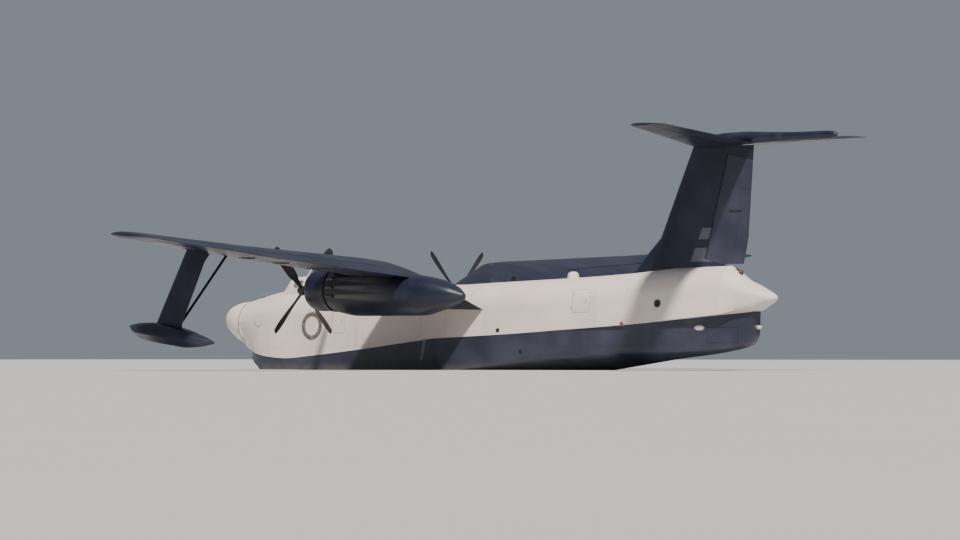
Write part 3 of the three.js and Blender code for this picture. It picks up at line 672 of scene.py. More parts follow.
rows, step, tailRow = hull["rows"], hull["step"], hull["tailRow"]
foreRows, afterRows = smoothRows(rows[:step], hull["spacing"]), smoothRows(rows[step:], hull["spacing"])
bottomMesh = skin([bottomRing(row) for row in foreRows + afterRows])
upperRows = [[row[0], row[4], *row[6:]] for row in rows]
upperMesh = lofted(upperRing, upperRows[: tailRow + 1], hull["spacing"])
coneStart = [upperRows[tailRow][0] + joints["bolted"], *upperRows[tailRow][1:]]
coneMesh = lofted(coneRing, [coneStart, *upperRows[tailRow + 1:], *hull["tailTip"]], hull["coneSpacing"])
radomeMesh = lofted(radomeRing, hull["radome"], hull["radomeSpacing"])

# Hydroflaps: plates let into the stern's sides. The front edge stands back, to clear the recess as it swings
hydroflap = {
    "aft": 25.15, "low": 2.38, "high": 2.95, "width": 1.25, "thick": 0.045, "gap": 0.01, "front": 0.008,
    "behind": 0.012, "proud": 0.06,
}


def hullSide(aft, up):
    i = next(i for i, row in enumerate(rows) if i and row[0] >= aft)
    share = (aft - rows[i - 1][0]) / (rows[i][0] - rows[i - 1][0])
    chine, chineHalf, line, lineHalf = (mix(a, b, share) for a, b in zip(rows[i - 1][2:6], rows[i][2:6]))
    out, rise = hull["lip"]
    return place(aft, mix(chineHalf + out, lineHalf, (up - chine - rise) / (line - chine - rise)), up)


flapFoot, flapHead = (hullSide(hydroflap["aft"], hydroflap[end]) for end in ("low", "high"))
hydroUp = (flapHead - flapFoot).normalized()
hydroAft = hullSide(hydroflap["aft"] + hydroflap["width"], hydroflap["low"]) - flapFoot
hydroAft = (hydroAft - hydroUp * hydroAft.dot(hydroUp)).normalized()
hydroOut = hydroAft.cross(hydroUp)
hydroOut = hydroOut if hydroOut.y > 0 else -hydroOut


def hydroBox(grow, front, depth):
    low = Vector((-grow, front, -depth))
    high = Vector(((flapHead - flapFoot).length + grow, hydroflap["width"] + grow, hydroflap["proud"]))
    return blockOn((low + high) / 2, high - low, flapFoot, hydroUp, hydroAft, hydroOut)


hydroPlate = common(bottomMesh, hydroBox(0, hydroflap["front"], hydroflap["thick"]))
inset = hydroUp * joints["end"]
hydroTube = tube([flapFoot + inset, flapHead - inset], joints["tube"], sides=16)
recess = hydroBox(hydroflap["gap"], -hydroflap["gap"], hydroflap["thick"] + hydroflap["behind"])
bottomMesh = cut(cut(bottomMesh, recess), mirrored(recess))
piece("hullBottomSkin", bottomMesh, blueSides, "hull_bottom")
bothSides("hydroflapPlate", merged(hydroPlate, hydroTube), blueSides, "hydroflap", body="hydroflap")
piece("fuselageUpperSkin", cut(upperMesh, box(*hull["cabin"])), whiteHull, "fuselage_upper")
piece("tailConeSkin", coneMesh, whitePlain, "tail_cone")
piece("radomeSkin", radomeMesh, whitePlain, "nose_radome")
print("hull made")


# Aerofoils
def between(a, b, share):
    return {name: mix(a[name], b[name], share) for name in a}


def halfThickness(station, share, trailingEdge=0.009):
    # the usual four-digit thickness curve
    x = min(max(share, 0), 1)
    curve = 0.2969 * math.sqrt(x) - 0.126 * x - 0.3516 * x**2 + 0.2843 * x**3 - 0.1036 * x**4
    return max(5 * station["thick"] * station["chord"] * curve, trailingEdge * x)


class Foil:
    # an aerofoil over stations along its span, which is y for a wing and up for a fin
    def __init__(self, span, names, *rows):
        self.span = span
        self.stations = [dict(zip(names.split(), row)) for row in rows]

    def at(self, value):
        i = next(i for i, station in enumerate(self.stations) if i and station[self.span] >= value)
        a, b = self.stations[i - 1: i + 1]
        return between(a, b, (value - a[self.span]) / (b[self.span] - a[self.span]))

    def point(self, station, share, offset=0):
        back = share * station["chord"]
        if self.span == "up":
            return place(station["aft"] + back, station["y"] + offset, station["up"])
        high = offset + 4 * station.get("camber", 0) * station["chord"] * share * (1 - share)
        pitch = math.radians(station.get("pitch", 0))
        aft = station["aft"] + back * math.cos(pitch) + high * math.sin(pitch)
        return place(aft, station["y"], station["up"] - back * math.sin(pitch) + high * math.cos(pitch))

    def ring(self, station, steps=22):
        shares = [(1 + math.cos(math.pi * k / steps)) / 2 for k in range(steps)]
        sizes = [halfThickness(station, share) for share in shares]
        upper = [self.point(station, share, size) for share, size in zip(shares, sizes)]
        lower = [self.point(station, share, -size) for share, size in zip(shares, sizes)]
        return [*upper, self.point(station, 0), *reversed(lower)]

    def body(self, parts=4):
        # three more sections between each two, so that a seam or a shade can follow the span
        pairs = zip(self.stations, self.stations[1:])
        rows = [between(a, b, k / parts) for a, b in pairs for k in range(parts)]
        return skin([self.ring(station) for station in [*rows, self.stations[-1]]])

    def hinged(self, body, low, high, share, reach=2.4):
        # a body split into its fixed part and the surface that swings aft of the hinge line
        stations = [self.at(value) for value in (low, high)]
        origin, end = (self.point(station, share) for station in stations)
        radii = [halfThickness(station, share) + joints["proud"] for station in stations]
        length, along = (end - origin).length, (end - origin).normalized()
        back = (aftward - along * aftward.dot(along)).normalized()

        def space(inset, grow):
            # a round nose about the hinge line, and all that lies aft of it
            ends = low, high = inset, length - inset
            sizes = [mix(*radii, d / length) + grow for d in ends]
            nose = tube([origin + along * d for d in ends], sizes, sides=40)
            middle, size = ((low + high) / 2, reach / 2, 0), Vector((high - low, reach, reach))
            return cut(nose, blockOn(middle, size, origin, along, back, along.cross(back)), "UNION")

        fixed, swinging = cut(body, space(0, joints["nose"])), common(body, space(joints["end"], 0))
        touch, sunk = joints["bolted"], 2 * joints["end"]
        pins = [tube([origin + along * a, origin + along * b], joints["pin"], sides=16)
                for a, b in ((touch, sunk), (length - sunk, length - touch))]
        return fixed, merged(swinging, *pins)


wing = {
    "foil": Foil(
        "y", "y aft up chord pitch thick camber",
        (0.6, 10.42, 3.98, 4.6, 8, 0.18, 0.02), (1.2, 10.36, 4.22, 4.55, 8, 0.18, 0.02),
        (3.9, 10.05, 5.33, 4.41, 7.5, 0.175, 0.02), (4.6, 10.08, 5.4, 4.35, 7.5, 0.172, 0.02),
        (12.38, 10.66, 5.88, 3.22, 6.2, 0.145, 0.02), (12.46, 10.665, 5.885, 3.42, 6.1, 0.137, 0.02),
        (17.3, 10.99, 6.27, 2.52, 5, 0.12, 0.015), (17.75, 11.06, 6.31, 2.38, 5, 0.11, 0.01),
        (17.95, 11.2, 6.32, 2.08, 5, 0.08, 0.01), (18.01, 11.38, 6.32, 1.7, 5, 0.045, 0),
    ),
    "joint": 5.35, "room": ((8.0, 18.0), 19, (2.0, 9.0)), "flap": (5.7, 12.37, 0.74),
    "aileron": (12.47, 17.28, 0.76),
    "notch": ((14.06, 16.0), (12.3, 12.6), (4.0, 7.0)),  # between flap and aileron
}
wingWhole = wing["foil"].body()
aft, tip, up = wing["room"]
wingInner = common(wingWhole, box(aft, (0, wing["joint"]), up))
wingOuter = common(wingWhole, box(aft, (wing["joint"] + joints["bolted"], tip), up))
wingOuter, flapMesh = wing["foil"].hinged(wingOuter, *wing["flap"])
wingOuter, aileronMesh = wing["foil"].hinged(wingOuter, *wing["aileron"])
wingOuter = cut(wingOuter, box(*wing["notch"]))
bothSides("wingInnerSkin", wingInner, blueWing, "wing_inner")
bothSides("wingOuterSkin", wingOuter, blueWing, "wing_outer")
bothSides("flapSkin", flapMesh, blueWing, "flap", body="flap")
bothSides("aileronSkin", aileronMesh, blueWing, "aileron", body="aileron")
print("wing made")

# Tail
fin = {
    "foil": Foil(
        "up", "up aft y chord thick",
        (4.7, 20.9, 0, 5.4, 0.065), (5.39, 21.53, 0, 4.85, 0.072), (5.82, 21.93, 0, 4.56, 0.076),
        (6.34, 22.48, 0, 4.11, 0.082), (9.72, 24.015, 0, 2.82, 0.1),
    ),
    "rudder": (5.5, 9.42, 0.64, 3.0), "rudderSpace": ((20, 30), (-0.5, 0.5), (5.31, 12)),
}
tailplane = {
    "foil": Foil(
        "y", "y aft up chord thick",
        (0, 23.98, 9.8, 2.83, 0.115), (6.2, 25.96, 10.225, 1.54, 0.1), (6.36, 26.06, 10.236, 1.4, 0.08),
        (6.41, 26.22, 10.24, 1.1, 0.05),
    ),
    "elevator": (0.42, 6.18, 0.66),
}
boom = {
    "up": 9.99, "spacing": 0.08, "sides": 40,
    "rows": [
        [24.7, 0.004], [24.76, 0.07], [25.0, 0.15], [25.5, 0.215], [26.4, 0.235], [27.6, 0.19], [28.8, 0.15],
        [30.1, 0.15], [30.42, 0.13], [30.6, 0.075], [30.66, 0.004],
    ],
}
finMesh, rudderMesh = fin["foil"].hinged(fin["foil"].body(), *fin["rudder"])
rudderMesh = common(rudderMesh, box(*fin["rudderSpace"]))
tailFixed, elevatorMesh = tailplane["foil"].hinged(tailplane["foil"].body(), *tailplane["elevator"])
piece("finSkin", finMesh, blueFin, "fin")
piece("rudderSkin", rudderMesh, blueSides, "rudder", body="rudder")
bothSides("tailplaneHalf", tailFixed, blueWing)
bothSides("elevatorSkin", elevatorMesh, blueWing, "elevator", body="elevator")
boomMesh = lathe(smoothRows(boom["rows"], boom["spacing"]), 0, boom["up"], boom["sides"])
piece("boomSkin", boomMesh, blueHull, "tail_boom", "tailplane")
print("tail made")

# Nacelles
nacelle = {
    "y": 4.6, "axis": 4.44, "sides": 72, "fullness": 2.4, "roundOver": 0.55, "spacing": 0.1,
    "rows": [  # aft, low, waist, high, half width
        [10.15, 3.63, 4.44, 5.25, 0.81], [10.7, 3.52, 4.4, 5.3, 0.87], [11.4, 3.43, 4.33, 5.3, 0.9],
        [14.5, 3.43, 4.33, 4.96, 0.9], [15.3, 3.59, 4.25, 4.83, 0.76], [16.12, 3.82, 4.21, 4.56, 0.48],
        [16.62, 4.03, 4.15, 4.26, 0.11],
    ],
    "cowl": [
        [10.1497, 0.765], [9.6, 0.765], [9.3, 0.765], [9.2, 0.74], [9.12, 0.69], [9.06, 0.63], [9.03, 0.61],
        [9.008, 0.612], [9.0, 0.64], [9.01, 0.675], [9.04, 0.708], [9.1, 0.745], [9.2, 0.782], [9.3, 0.8],
        [9.42, 0.81], [9.85, 0.81], [10.1497, 0.81],
    ],
}
bay = {
    "aft": (11.45, 14.45), "half": 0.56, "ceiling": 4.42, "hinge": 3.573, "skin": 0.03, "bevel": 0.014,
    "below": 3.0, "relief": 0.005, "clear": 0.001, "doorRibs": 6, "rib": (0.02, 0.2, 0.2, 0.006),
    "ribUp": (3.5, 3.565),
}
onAxis = nacelle["y"], nacelle["axis"]
bayY = around(nacelle["y"], bay["half"])


def nacelleRing(row, inset=0.0):
    aft, low, waist, high, half = row
    share = max(0.0, min(1.0, (aft - nacelle["rows"][0][0]) / nacelle["roundOver"]))
    power = 2 / mix(2, nacelle["fullness"], share)
    ring = []
    for a in circle(nacelle["sides"]):
        c, s = math.cos(a), math.sin(a)
        out = math.copysign(abs(c) ** power, c) * (half - inset)
        rise = abs(s) ** power * ((high - inset - waist) if s > 0 else (low + inset - waist))
        ring.append(place(aft, nacelle["y"] + out, waist + rise))
    return ring


def nacelleShape(inset):
    return lofted(lambda row: nacelleRing(row, inset), nacelle["rows"], nacelle["spacing"])


nacelleMesh = nacelleShape(0.0)
doorSkin = cut(nacelleMesh, nacelleShape(bay["skin"]))
bayRoom = box(bay["aft"], bayY, (bay["below"], bay["ceiling"]))
bothSides("nacelleSkin", cut(nacelleMesh, bayRoom), blueNacelle, "nacelle")


def bayDoor(side):
    middle, hinge, gap = nacelle["y"], bay["hinge"], joints["end"]
    hingeY = middle + side * (bay["half"] - gap)
    start, end = aft = (bay["aft"][0] + gap, bay["aft"][1] - gap)
    edges = sorted((middle + side * gap / 2, hingeY))
    plate = common(doorSkin, box(aft, edges, (bay["below"], hinge - bay["clear"])))
    # the outer edge is cut back below the hinge, so that it clears the wall as it swings
    edge = sorted((hingeY - side * bay["bevel"], hingeY + side * gap))
    plate = cut(plate, box(bay["aft"], edge, (bay["below"], hinge - bay["relief"])))
    parts = [plate, tube([place(a, hingeY, hinge) for a in aft], joints["tube"], sides=16)]
    thick, half, inset, corner = bay["rib"]
    across = around(middle + side * bay["half"] / 2, half)
    for k in range(bay["doorRibs"]):
        spot = start + inset + k * (end - start - 2 * inset) / (bay["doorRibs"] - 1)
        parts.append(softBox(around(spot, thick), across, bay["ribUp"], corner, steps=1))
    return merged(*parts)


for name, side in (("inner", -1), ("outer", 1)):
    door = f"bay_door_{name}"
    bothSides(f"bayDoor{name.title()}Plate", bayDoor(side), blueHull, door, body=door)
bothSides("cowlSkin", lathe(nacelle["cowl"], *onAxis, nacelle["sides"], ends=False), blueHull, "cowl")
print("nacelles made")

# Propellers
propeller = {
    "hub": [
        [8.06, 0.004], [8.065, 0.035], [8.08, 0.062], [8.13, 0.105], [8.18, 0.13], [8.23, 0.14],
        [8.24, 0.185], [8.26, 0.19], [8.48, 0.19], [8.5, 0.185], [8.51, 0.15], [8.5997, 0.15], [8.6, 0.004],
    ],
    "blade": [  # radius, chord, thickness, pitch
        [0.12, 0.13, 0.125, 45], [0.45, 0.18, 0.105, 45], [0.9, 0.345, 0.065, 36], [1.7, 0.385, 0.034, 24],
        [2.23, 0.28, 0.018, 19], [2.3, 0.16, 0.011, 18], [2.31, 0.06, 0.008, 18],
    ],
    "spacing": 0.07, "plane": 8.36, "blades": 4, "sides": 24,
}


def bladeRing(row):
    radius, chord, thick, pitch = row
    c, s = math.cos(math.radians(pitch)), math.sin(math.radians(pitch))
    flat = [(chord / 2 * math.cos(a), thick / 2 * math.sin(a)) for a in circle(propeller["sides"])]
    return [Vector((across * s + deep * c, across * c - deep * s, radius)) for across, deep in flat]


bladeMesh = lofted(bladeRing, propeller["blade"], propeller["spacing"])
centre = Matrix.Translation(place(propeller["plane"], *onAxis))
blades = [reshaped(bladeMesh, centre @ Matrix.Rotation(a, 4, "X")) for a in circle(propeller["blades"], 0.5)]
hub = lathe(propeller["hub"], *onAxis, sides=40)
bothSides("propellerBlades", merged(hub, *blades), blackPaint, "propeller", body="propeller")
print("propellers made")

# Wing floats
wingFloat = {
    "y": 14.2, "spacing": 0.1, "edge": 0.012, "hollow": 0.12, "roundness": (0.62, 1.15), "crown": 12,
    "rows": [  # aft, keel, chine, half width, deck
        [8.43, 2.975, 2.99, 0.025, 3.03], [8.85, 2.6, 2.8, 0.25, 3.105], [9.6, 2.42, 2.7, 0.43, 3.135],
        [10.6, 2.29, 2.59, 0.49, 3.03], [11.4, 2.2, 2.5, 0.44, 2.85], [12.2, 2.24, 2.42, 0.27, 2.61],
        [12.78, 2.335, 2.37, 0.03, 2.41],
    ],
    "pylon": Foil(
        "up", "y aft up chord thick", (14.2, 9.66, 2.8, 1.33, 0.17), (13.8, 11.06, 5.93, 1.13, 0.17),
    ),
    "struts": [  # each from foot to head
        Foil("up", "aft y up chord thick", (9.87, 13.955, 3.08, 0.15, 0.4), (10.88, 12.48, 5.85, 0.15, 0.4)),
        Foil("up", "aft y up chord thick", (10.68, 13.955, 3.02, 0.15, 0.4), (11.8, 12.48, 5.75, 0.15, 0.4)),
    ],
    "strutFoot": ((9.85, 10.85), (13.89, 14.015), (2.95, 3.16), 0.012),
}


def floatRing(row):
    aft, keel, chine, half, deck = row
    edge = chine + wingFloat["edge"]
    port = planing(keel, chine, half, wingFloat["hollow"], steps=4)
    narrow, high = wingFloat["roundness"]
    for a in quarter(wingFloat["crown"])[:-1]:
        port.append((half * math.cos(a) ** narrow, edge + (deck - edge) * math.sin(a) ** high))
    return section(aft, [keel], port, [deck], wingFloat["y"])


floatRows = smoothRows(wingFloat["rows"], wingFloat["spacing"])
floatMesh = skin([floatRing(row) for row in floatRows])
bothSides("floatHull", floatMesh, blueHull, "wing_float")
bothSides("floatPylonSkin", wingFloat["pylon"].body(), blueHull, "float_pylon")
struts = [strut.body() for strut in wingFloat["struts"]]
bothSides("floatBraceStruts", merged(*struts, softBox(*wingFloat["strutFoot"])), blueHull, "float_brace")
print("floats made")


# Repeats
def copiesTree():
    # copies of a part along a path, or at its points where the spacing is 0, turned as the path says
    tree = bpy.data.node_groups.new("copiesAlongPath", "GeometryNodeTree")
    tree.is_modifier = True
    sockets = {}
    for name, way, kind in (
        ("Geometry", "INPUT", "Geometry"), ("Part", "INPUT", "Object"), ("Size", "INPUT", "Float"),
        ("Spacing", "INPUT", "Float"), ("Finish", "INPUT", "Material"), ("Geometry", "OUTPUT", "Geometry"),
    ):
        socket = tree.interface.new_socket(name, in_out=way, socket_type=f"NodeSocket{kind}")
        sockets[name] = socket.identifier

    def add(kind, **settings):
        made = tree.nodes.new(kind)
        for key, value in settings.items():
            setattr(made, key, value)
        return made

    start, end = add("NodeGroupInput"), add("NodeGroupOutput")
    curve, sampled = add("GeometryNodeMeshToCurve"), add("GeometryNodeResampleCurve", mode="LENGTH")
    along = add("FunctionNodeCompare", operation="GREATER_THAN", data_type="FLOAT")
    choice, part = add("GeometryNodeSwitch", input_type="GEOMETRY"), add("GeometryNodeObjectInfo")
    outward, onward = (add("GeometryNodeInputNamedAttribute", data_type="FLOAT_VECTOR") for _ in range(2))
    outward.inputs["Name"].default_value, onward.inputs["Name"].default_value = "outward", "onward"
    turn = add("FunctionNodeAxesToRotation", primary_axis="Z", secondary_axis="X")
    copies, whole = add("GeometryNodeInstanceOnPoints"), add("GeometryNodeRealizeInstances")
    finish = add("GeometryNodeSetMaterial")
    for a, out, b, into in (
        (start, "Geometry", curve, "Mesh"), (curve, "Curve", sampled, "Curve"),
        (start, "Spacing", sampled, "Length"), (start, "Spacing", along, "A"),
        (along, "Result", choice, "Switch"), (start, "Geometry", choice, "False"),
        (sampled, "Curve", choice, "True"), (start, "Part", part, "Object"),
        (choice, "Output", copies, "Points"), (part, "Geometry", copies, "Instance"),
        (outward, "Attribute", turn, "Primary Axis"),
        (onward, "Attribute", turn, "Secondary Axis"), (turn, "Rotation", copies, "Rotation"),
        (start, "Size", copies, "Scale"), (copies, "Instances", whole, "Geometry"),
        (whole, "Geometry", finish, "Geometry"), (start, "Finish", finish, "Material"),
        (finish, "Geometry", end, "Geometry"),
    ):
        tree.links.new(a.outputs[out], b.inputs[into])
    return tree, sockets


copies, copiesInputs = copiesTree()


def repeated(paths, part, finish, spacing=0.0):
    # paths are lists of (place, outward, onward); the part lies at the origin, +Z outwards and +X onwards
    mesh = bpy.data.meshes.new("path")
    spots = [spot for path in paths for spot in path]
    edges, first = [], 0
    for path in (paths if spacing else []):
        edges += [(first + k, first + k + 1) for k in range(len(path) - 1)]
        first += len(path)
    mesh.from_pydata([spot[0] for spot in spots], edges, [])
    for index, name in ((1, "outward"), (2, "onward")):
        values = mesh.attributes.new(name, "FLOAT_VECTOR", "POINT")
        values.data.foreach_set("vector", [n for spot in spots for n in spot[index]])
    pattern, host = added("pattern", part), added("host", mesh)
    change = host.modifiers.new("copies", "NODES")
    change.node_group = copies
    for name, value in (("Part", pattern), ("Size", 1.0), ("Spacing", spacing), ("Finish", finish)):
        change[copiesInputs[name]] = value
    made = evaluated(host, pattern, host)
    for name in ("outward", "onward"):
        if name in made.attributes:
            made.attributes.remove(made.attributes[name])
    return made


def laid(name, paths, part, material, *nodes, spacing=0.0, **settings):
    bothSides(name, repeated(paths, part, material, spacing), material, *nodes, **settings)


def stud(radius, height, sides):
    # a low rivet head, sunk a little into the skin
    sunk, shoulder, crown = rivets["stud"]
    return standing([(-sunk, radius), (height * shoulder, radius), (height, radius * crown)], sides)


rivets = {
    "stud": (0.003, 0.4, 0.6),
    "spacing": 0.085, "beside": 0.03, "head": (0.008, 0.003, 5),
    "frame": 1.24, "frames": range(-11, 9), "frameAft": (1.7, 26.5), "frameSteps": 60, "stringerSteps": 90,
    "overLine": 0.25, "edges": (0.03, 0.06), "blueFrom": 0.4, "blueGap": 4, "clear": (0.05, 0.03),
    "stringer": 0.92, "stringers": ((1, (3.2, 17.0)), (2, (1.8, 20.6)), (3, (1.8, 26.4))),  # first one blue
}
rivetHead = stud(*rivets["head"])

# Engines: a two-row radial with finned barrels, rocker boxes, push-rod tubes and an ignition ring
engine = {
    "rows": (9.48, 9.8), "barrels": 9, "root": 0.38, "head": 0.66, "radius": 0.098, "foot": 0.7,
    "fins": (11, 0.12, 0.7), "fin": (0.74, 0.006, 0.009, 0.014), "shortFins": (4, 0.86),
    "top": ((0.86, 0.9), (0.96, 0.7)), "tip": 0.03,
    "pushRods": (-0.035, 0.035), "pushRod": ((0.085, -0.05), (0.1, 0.9), 1.4, 0.011),
    "rockers": (0.0, -0.14), "rocker": ((12.3, 12.42), (-0.035, 0.035), (0.84, 0.99), 0.015),
    "ring": (9.2, 0.335, 0.016, 48), "leads": (18, 0.008),
    "lead": [(9.2, 0.335), (9.26, 0.43), (9.4, 0.5), (9.44, 0.56)],
    "core": [
        [8.6003, 0.004], [8.601, 0.095], [8.7, 0.11], [8.74, 0.125], [8.78, 0.155], [8.86, 0.185],
        [9.0, 0.235], [9.06, 0.265], [9.075, 0.3], [9.1, 0.3], [9.12, 0.285], [9.33, 0.35], [9.38, 0.4],
        [9.62, 0.4], [9.66, 0.37], [9.96, 0.37], [10.03, 0.42], [10.05, 0.42], [10.051, 0.64],
        [10.1497, 0.64], [10.1498, 0.004],
    ],
    "stubs": (62, 84, 106, 254, 276, 298), "stubRadii": [0.05, 0.058, 0.062, 0.062, 0.06], "stubEnd": 0.05,
    "stub": ((10.18, 0.74), (10.3, 0.83), (10.42, 0.885), (10.56, 0.905), (10.7, 0.91)),
    "scoop": [
        [9.32, 5.2, 0.23, 0.075], [9.36, 5.2, 0.25, 0.115], [9.7, 5.2, 0.27, 0.15], [10.3, 5.2, 0.28, 0.16],
        [10.9, 5.2, 0.25, 0.13], [11.5, 5.18, 0.14, 0.05],
    ],
    "mouth": [[9.2, 5.215, 0.208, 0.093], [9.55, 5.215, 0.208, 0.093]],
    "scoopPower": 0.7, "scoopFloor": 0.1, "scoopSpacing": 0.06, "scoopSides": 32,
}


def barrel():
    length, radius = engine["head"] - engine["root"], engine["radius"]
    count, first, reach = engine["fins"]
    root, start, end, foot = engine["fin"]
    short, shortest = engine["shortFins"]
    profile = [(0, radius * engine["foot"])]
    for k in range(count):
        low, edge = length * (first + reach * k / count), mix(shortest, 1, min(1, k / short))
        steps = (0, root), (start, edge), (end, edge), (foot, root)
        profile += [(low + rise, radius * share) for rise, share in steps]
    profile += [(length * up, radius * share) for up, share in engine["top"]]
    parts = [standing([*profile, (length, engine["tip"])], sides=18)]
    (footX, footZ), (headX, headShare), spread, thick = engine["pushRod"]
    for y in engine["pushRods"]:
        head = Vector((headX, y * spread, length * headShare))
        parts.append(tube([Vector((footX, y, footZ)), head], thick, sides=8))
    long, across, shares, corner = engine["rocker"]
    for shift in engine["rockers"]:
        rocker = softBox(long, across, [draft + length * share for share in shares], corner)
        parts.append(moved(rocker, (shift, 0, 0)))
    return merged(*parts)


def spoke(aft, a, radius):
    return place(aft, *onAxis) + radial(a) * radius


spots = [(spoke(aft, a, engine["root"]), radial(a), ahead)
         for row, aft in enumerate(engine["rows"]) for a in circle(engine["barrels"], row / 2)]
laid("engineBarrels", [spots], barrel(), bareMetal, "engine", smooth=40)
bothSides("engineCore", lathe(engine["core"], *onAxis, sides=48), darkMetal)
aft, radius, thick, steps = engine["ring"]
ring = tube([spoke(aft, math.pi / 2 - a, radius) for a in (*circle(steps), 2 * math.pi)], thick, sides=8)
count, thick = engine["leads"]
leads = [tube([spoke(aft, a, r) for aft, r in engine["lead"]], thick, sides=6) for a in circle(count)]
bothSides("engineHarness", merged(ring, *leads), bareMetal)

# Cowl flaps behind the ring, exhaust stubs below them, and an air scoop on top
cowlFlaps = {
    "count": 20, "aft": 9.87, "length": 0.26, "radius": 0.812, "rise": 0.035, "curl": 1.5, "thick": 0.006,
    "share": 0.93, "steps": 6,
}


def cowlFlap():
    half = math.pi / cowlFlaps["count"] * cowlFlaps["share"]
    steps = cowlFlaps["steps"]
    turns = [half * (2 * k / steps - 1) for k in range(steps + 1)]
    rings = []
    for t in (0, 0.5, 1):
        back = aftward * (cowlFlaps["length"] * t)
        reach = cowlFlaps["radius"] + cowlFlaps["rise"] * t ** cowlFlaps["curl"]
        inner = [back + radial(a) * (reach - cowlFlaps["thick"]) for a in reversed(turns)]
        rings.append([back + radial(a) * reach for a in turns] + inner)
    return skin(rings)


spots = [(spoke(cowlFlaps["aft"], a, 0), radial(a), ahead) for a in circle(cowlFlaps["count"], 0.5)]
laid("cowlFlaps", [spots], cowlFlap(), blueHull, smooth=25)


def exhaustStub(turn):
    path = [spoke(aft, math.radians(turn), radius) for aft, radius in engine["stub"]]
    radii, beyond = engine["stubRadii"], path[-1] + aftward * engine["stubEnd"]
    return cut(tube(path, radii, sides=20), tube([*path[-2:], beyond], radii[0], sides=20))


def scoopRing(row):
    (aft, base, half, high), power = row, engine["scoopPower"]
    ring = []
    for a in circle(engine["scoopSides"]):
        c, s = math.cos(a), math.sin(a)
        rise = abs(s) ** power * high if s > 0 else s * engine["scoopFloor"]
        ring.append(place(aft, nacelle["y"] + math.copysign(abs(c) ** power, c) * half, base + rise))
    return ring


bothSides("exhaustStubs", merged(*(exhaustStub(turn) for turn in engine["stubs"])), burntMetal)
mouth = skin([scoopRing(row) for row in engine["mouth"]])
bothSides("airScoop", cut(lofted(scoopRing, engine["scoop"], engine["scoopSpacing"]), mouth), blueHull)
print("engines made")

# Flight deck
deck = {
    "rows": [  # aft, roof, half width at the foot and the top
        [3.72, 4.6, 0.83, 0.7], [4.16, 5.05, 0.86, 0.7], [4.88, 5.11, 0.88, 0.72], [5.14, 5.43, 0.885, 0.7],
        [5.32, 5.49, 0.885, 0.69], [6.08, 5.47, 0.88, 0.69], [6.7, 4.7, 0.84, 0.6],
    ],
    "spacing": 0.09, "foot": 4.05, "innerFoot": 3.85, "corner": 0.18, "cornerShare": 0.3, "cornerSteps": 8,
    "bend": (0.6, 0.012), "crown": 0.01, "wall": 0.05, "glass": (0.02, 0.032), "windowCorner": 0.07,
    "windows": [(4.3, 4.8, 4.64, 4.93), (5.23, 5.59, 4.64, 5.24), (5.69, 6.03, 4.64, 5.24)],
    "windowDepth": (-1.2, 1.2), "screens": [(-0.6, -0.23), (-0.17, 0.17), (0.23, 0.6)],
    "screenUp": (4.69, 4.985), "screenDepth": (3.5, 4.15),
    "rim": (-0.006, 0.002, 0.028), "seal": (0.003, 0.016, -0.014),  # outer and inner face, and how much wider
}


def deckRing(row, inward, shift):
    aft, roof, foot, top = row
    half, crown, roof = foot - inward, top - inward, roof - inward
    corner = min(deck["corner"], (roof - deck["foot"]) * deck["cornerShare"])
    share, out = deck["bend"]
    port = [(half, deck["innerFoot" if inward else "foot"])]
    port.append((mix(half, crown, share) + out, mix(deck["foot"], roof, share)))
    for a in quarter(deck["cornerSteps"]):
        port.append((crown - corner + corner * math.cos(a), roof - corner + corner * math.sin(a)))
    return section(aft + shift, [], port, [roof + deck["crown"]])


def deckShape(inward):
    rows = smoothRows(deck["rows"], deck["spacing"])
    shifts = [inward, *[0] * (len(rows) - 2), -inward]
    return skin([deckRing(row, inward, shift) for row, shift in zip(rows, shifts)])


def roundedOutline(low, high, radius, steps=6):
    # a rectangle with rounded corners, as pairs across and up
    right, top, left, foot = high[0] - radius, high[1] - radius, low[0] + radius, low[1] + radius
    outline = []
    for start, across, up in ((0, right, top), (90, left, top), (180, left, foot), (270, right, foot)):
        for turn in (math.radians(start + 90 * k / steps) for k in range(steps + 1)):
            outline.append((across + radius * math.cos(turn), up + radius * math.sin(turn)))
    return outline


def windowCut(low, high, side, grow=0.0):
    # a prism with rounded corners, through the sides or through the front
    low, high = [value - grow for value in low], [value + grow for value in high]
    outline = roundedOutline(low, high, deck["windowCorner"] + grow)
    if side:
        return skin([[place(aft, y, up) for aft, up in outline] for y in deck["windowDepth"]])
    return skin([[place(aft, y, up) for y, up in outline] for aft in deck["screenDepth"]])


openings = [((front, low), (back, high), True) for front, back, low, high in deck["windows"]]
openings += [((a, deck["screenUp"][0]), (b, deck["screenUp"][1]), False) for a, b in deck["screens"]]
(rimOut, rimIn, rimGrow), (sealOut, sealIn, sealGrow) = deck["rim"], deck["seal"]
shell = cut(deckShape(0), deckShape(deck["wall"]))
rimShell, sealShell = cut(deckShape(rimOut), deckShape(rimIn)), cut(deckShape(sealOut), deckShape(sealIn))
rims, seals = [], []
for opening in openings:
    hole = windowCut(*opening)
    shell = cut(shell, hole)
    rims.append(cut(common(rimShell, windowCut(*opening, rimGrow)), hole))
    seals.append(cut(common(sealShell, hole), windowCut(*opening, sealGrow)))
piece("flightDeckShell", shell, whitePlain, "flight_deck", smooth=30)
piece("windowRims", merged(*rims), whitePlain, smooth=30)
piece("windowSeals", merged(*seals), blackRubber, smooth=30)
pane = cut(*(deckShape(inward) for inward in deck["glass"]))
piece("flightDeckGlass", pane, clearGlass, "flight_deck_glass", smooth=30)


# Fittings laid on the skin
def surface(*meshes):
    whole = merged(*meshes)
    return BVHTree.FromPolygons([v.co for v in whole.vertices], [tuple(p.vertices) for p in whole.polygons])


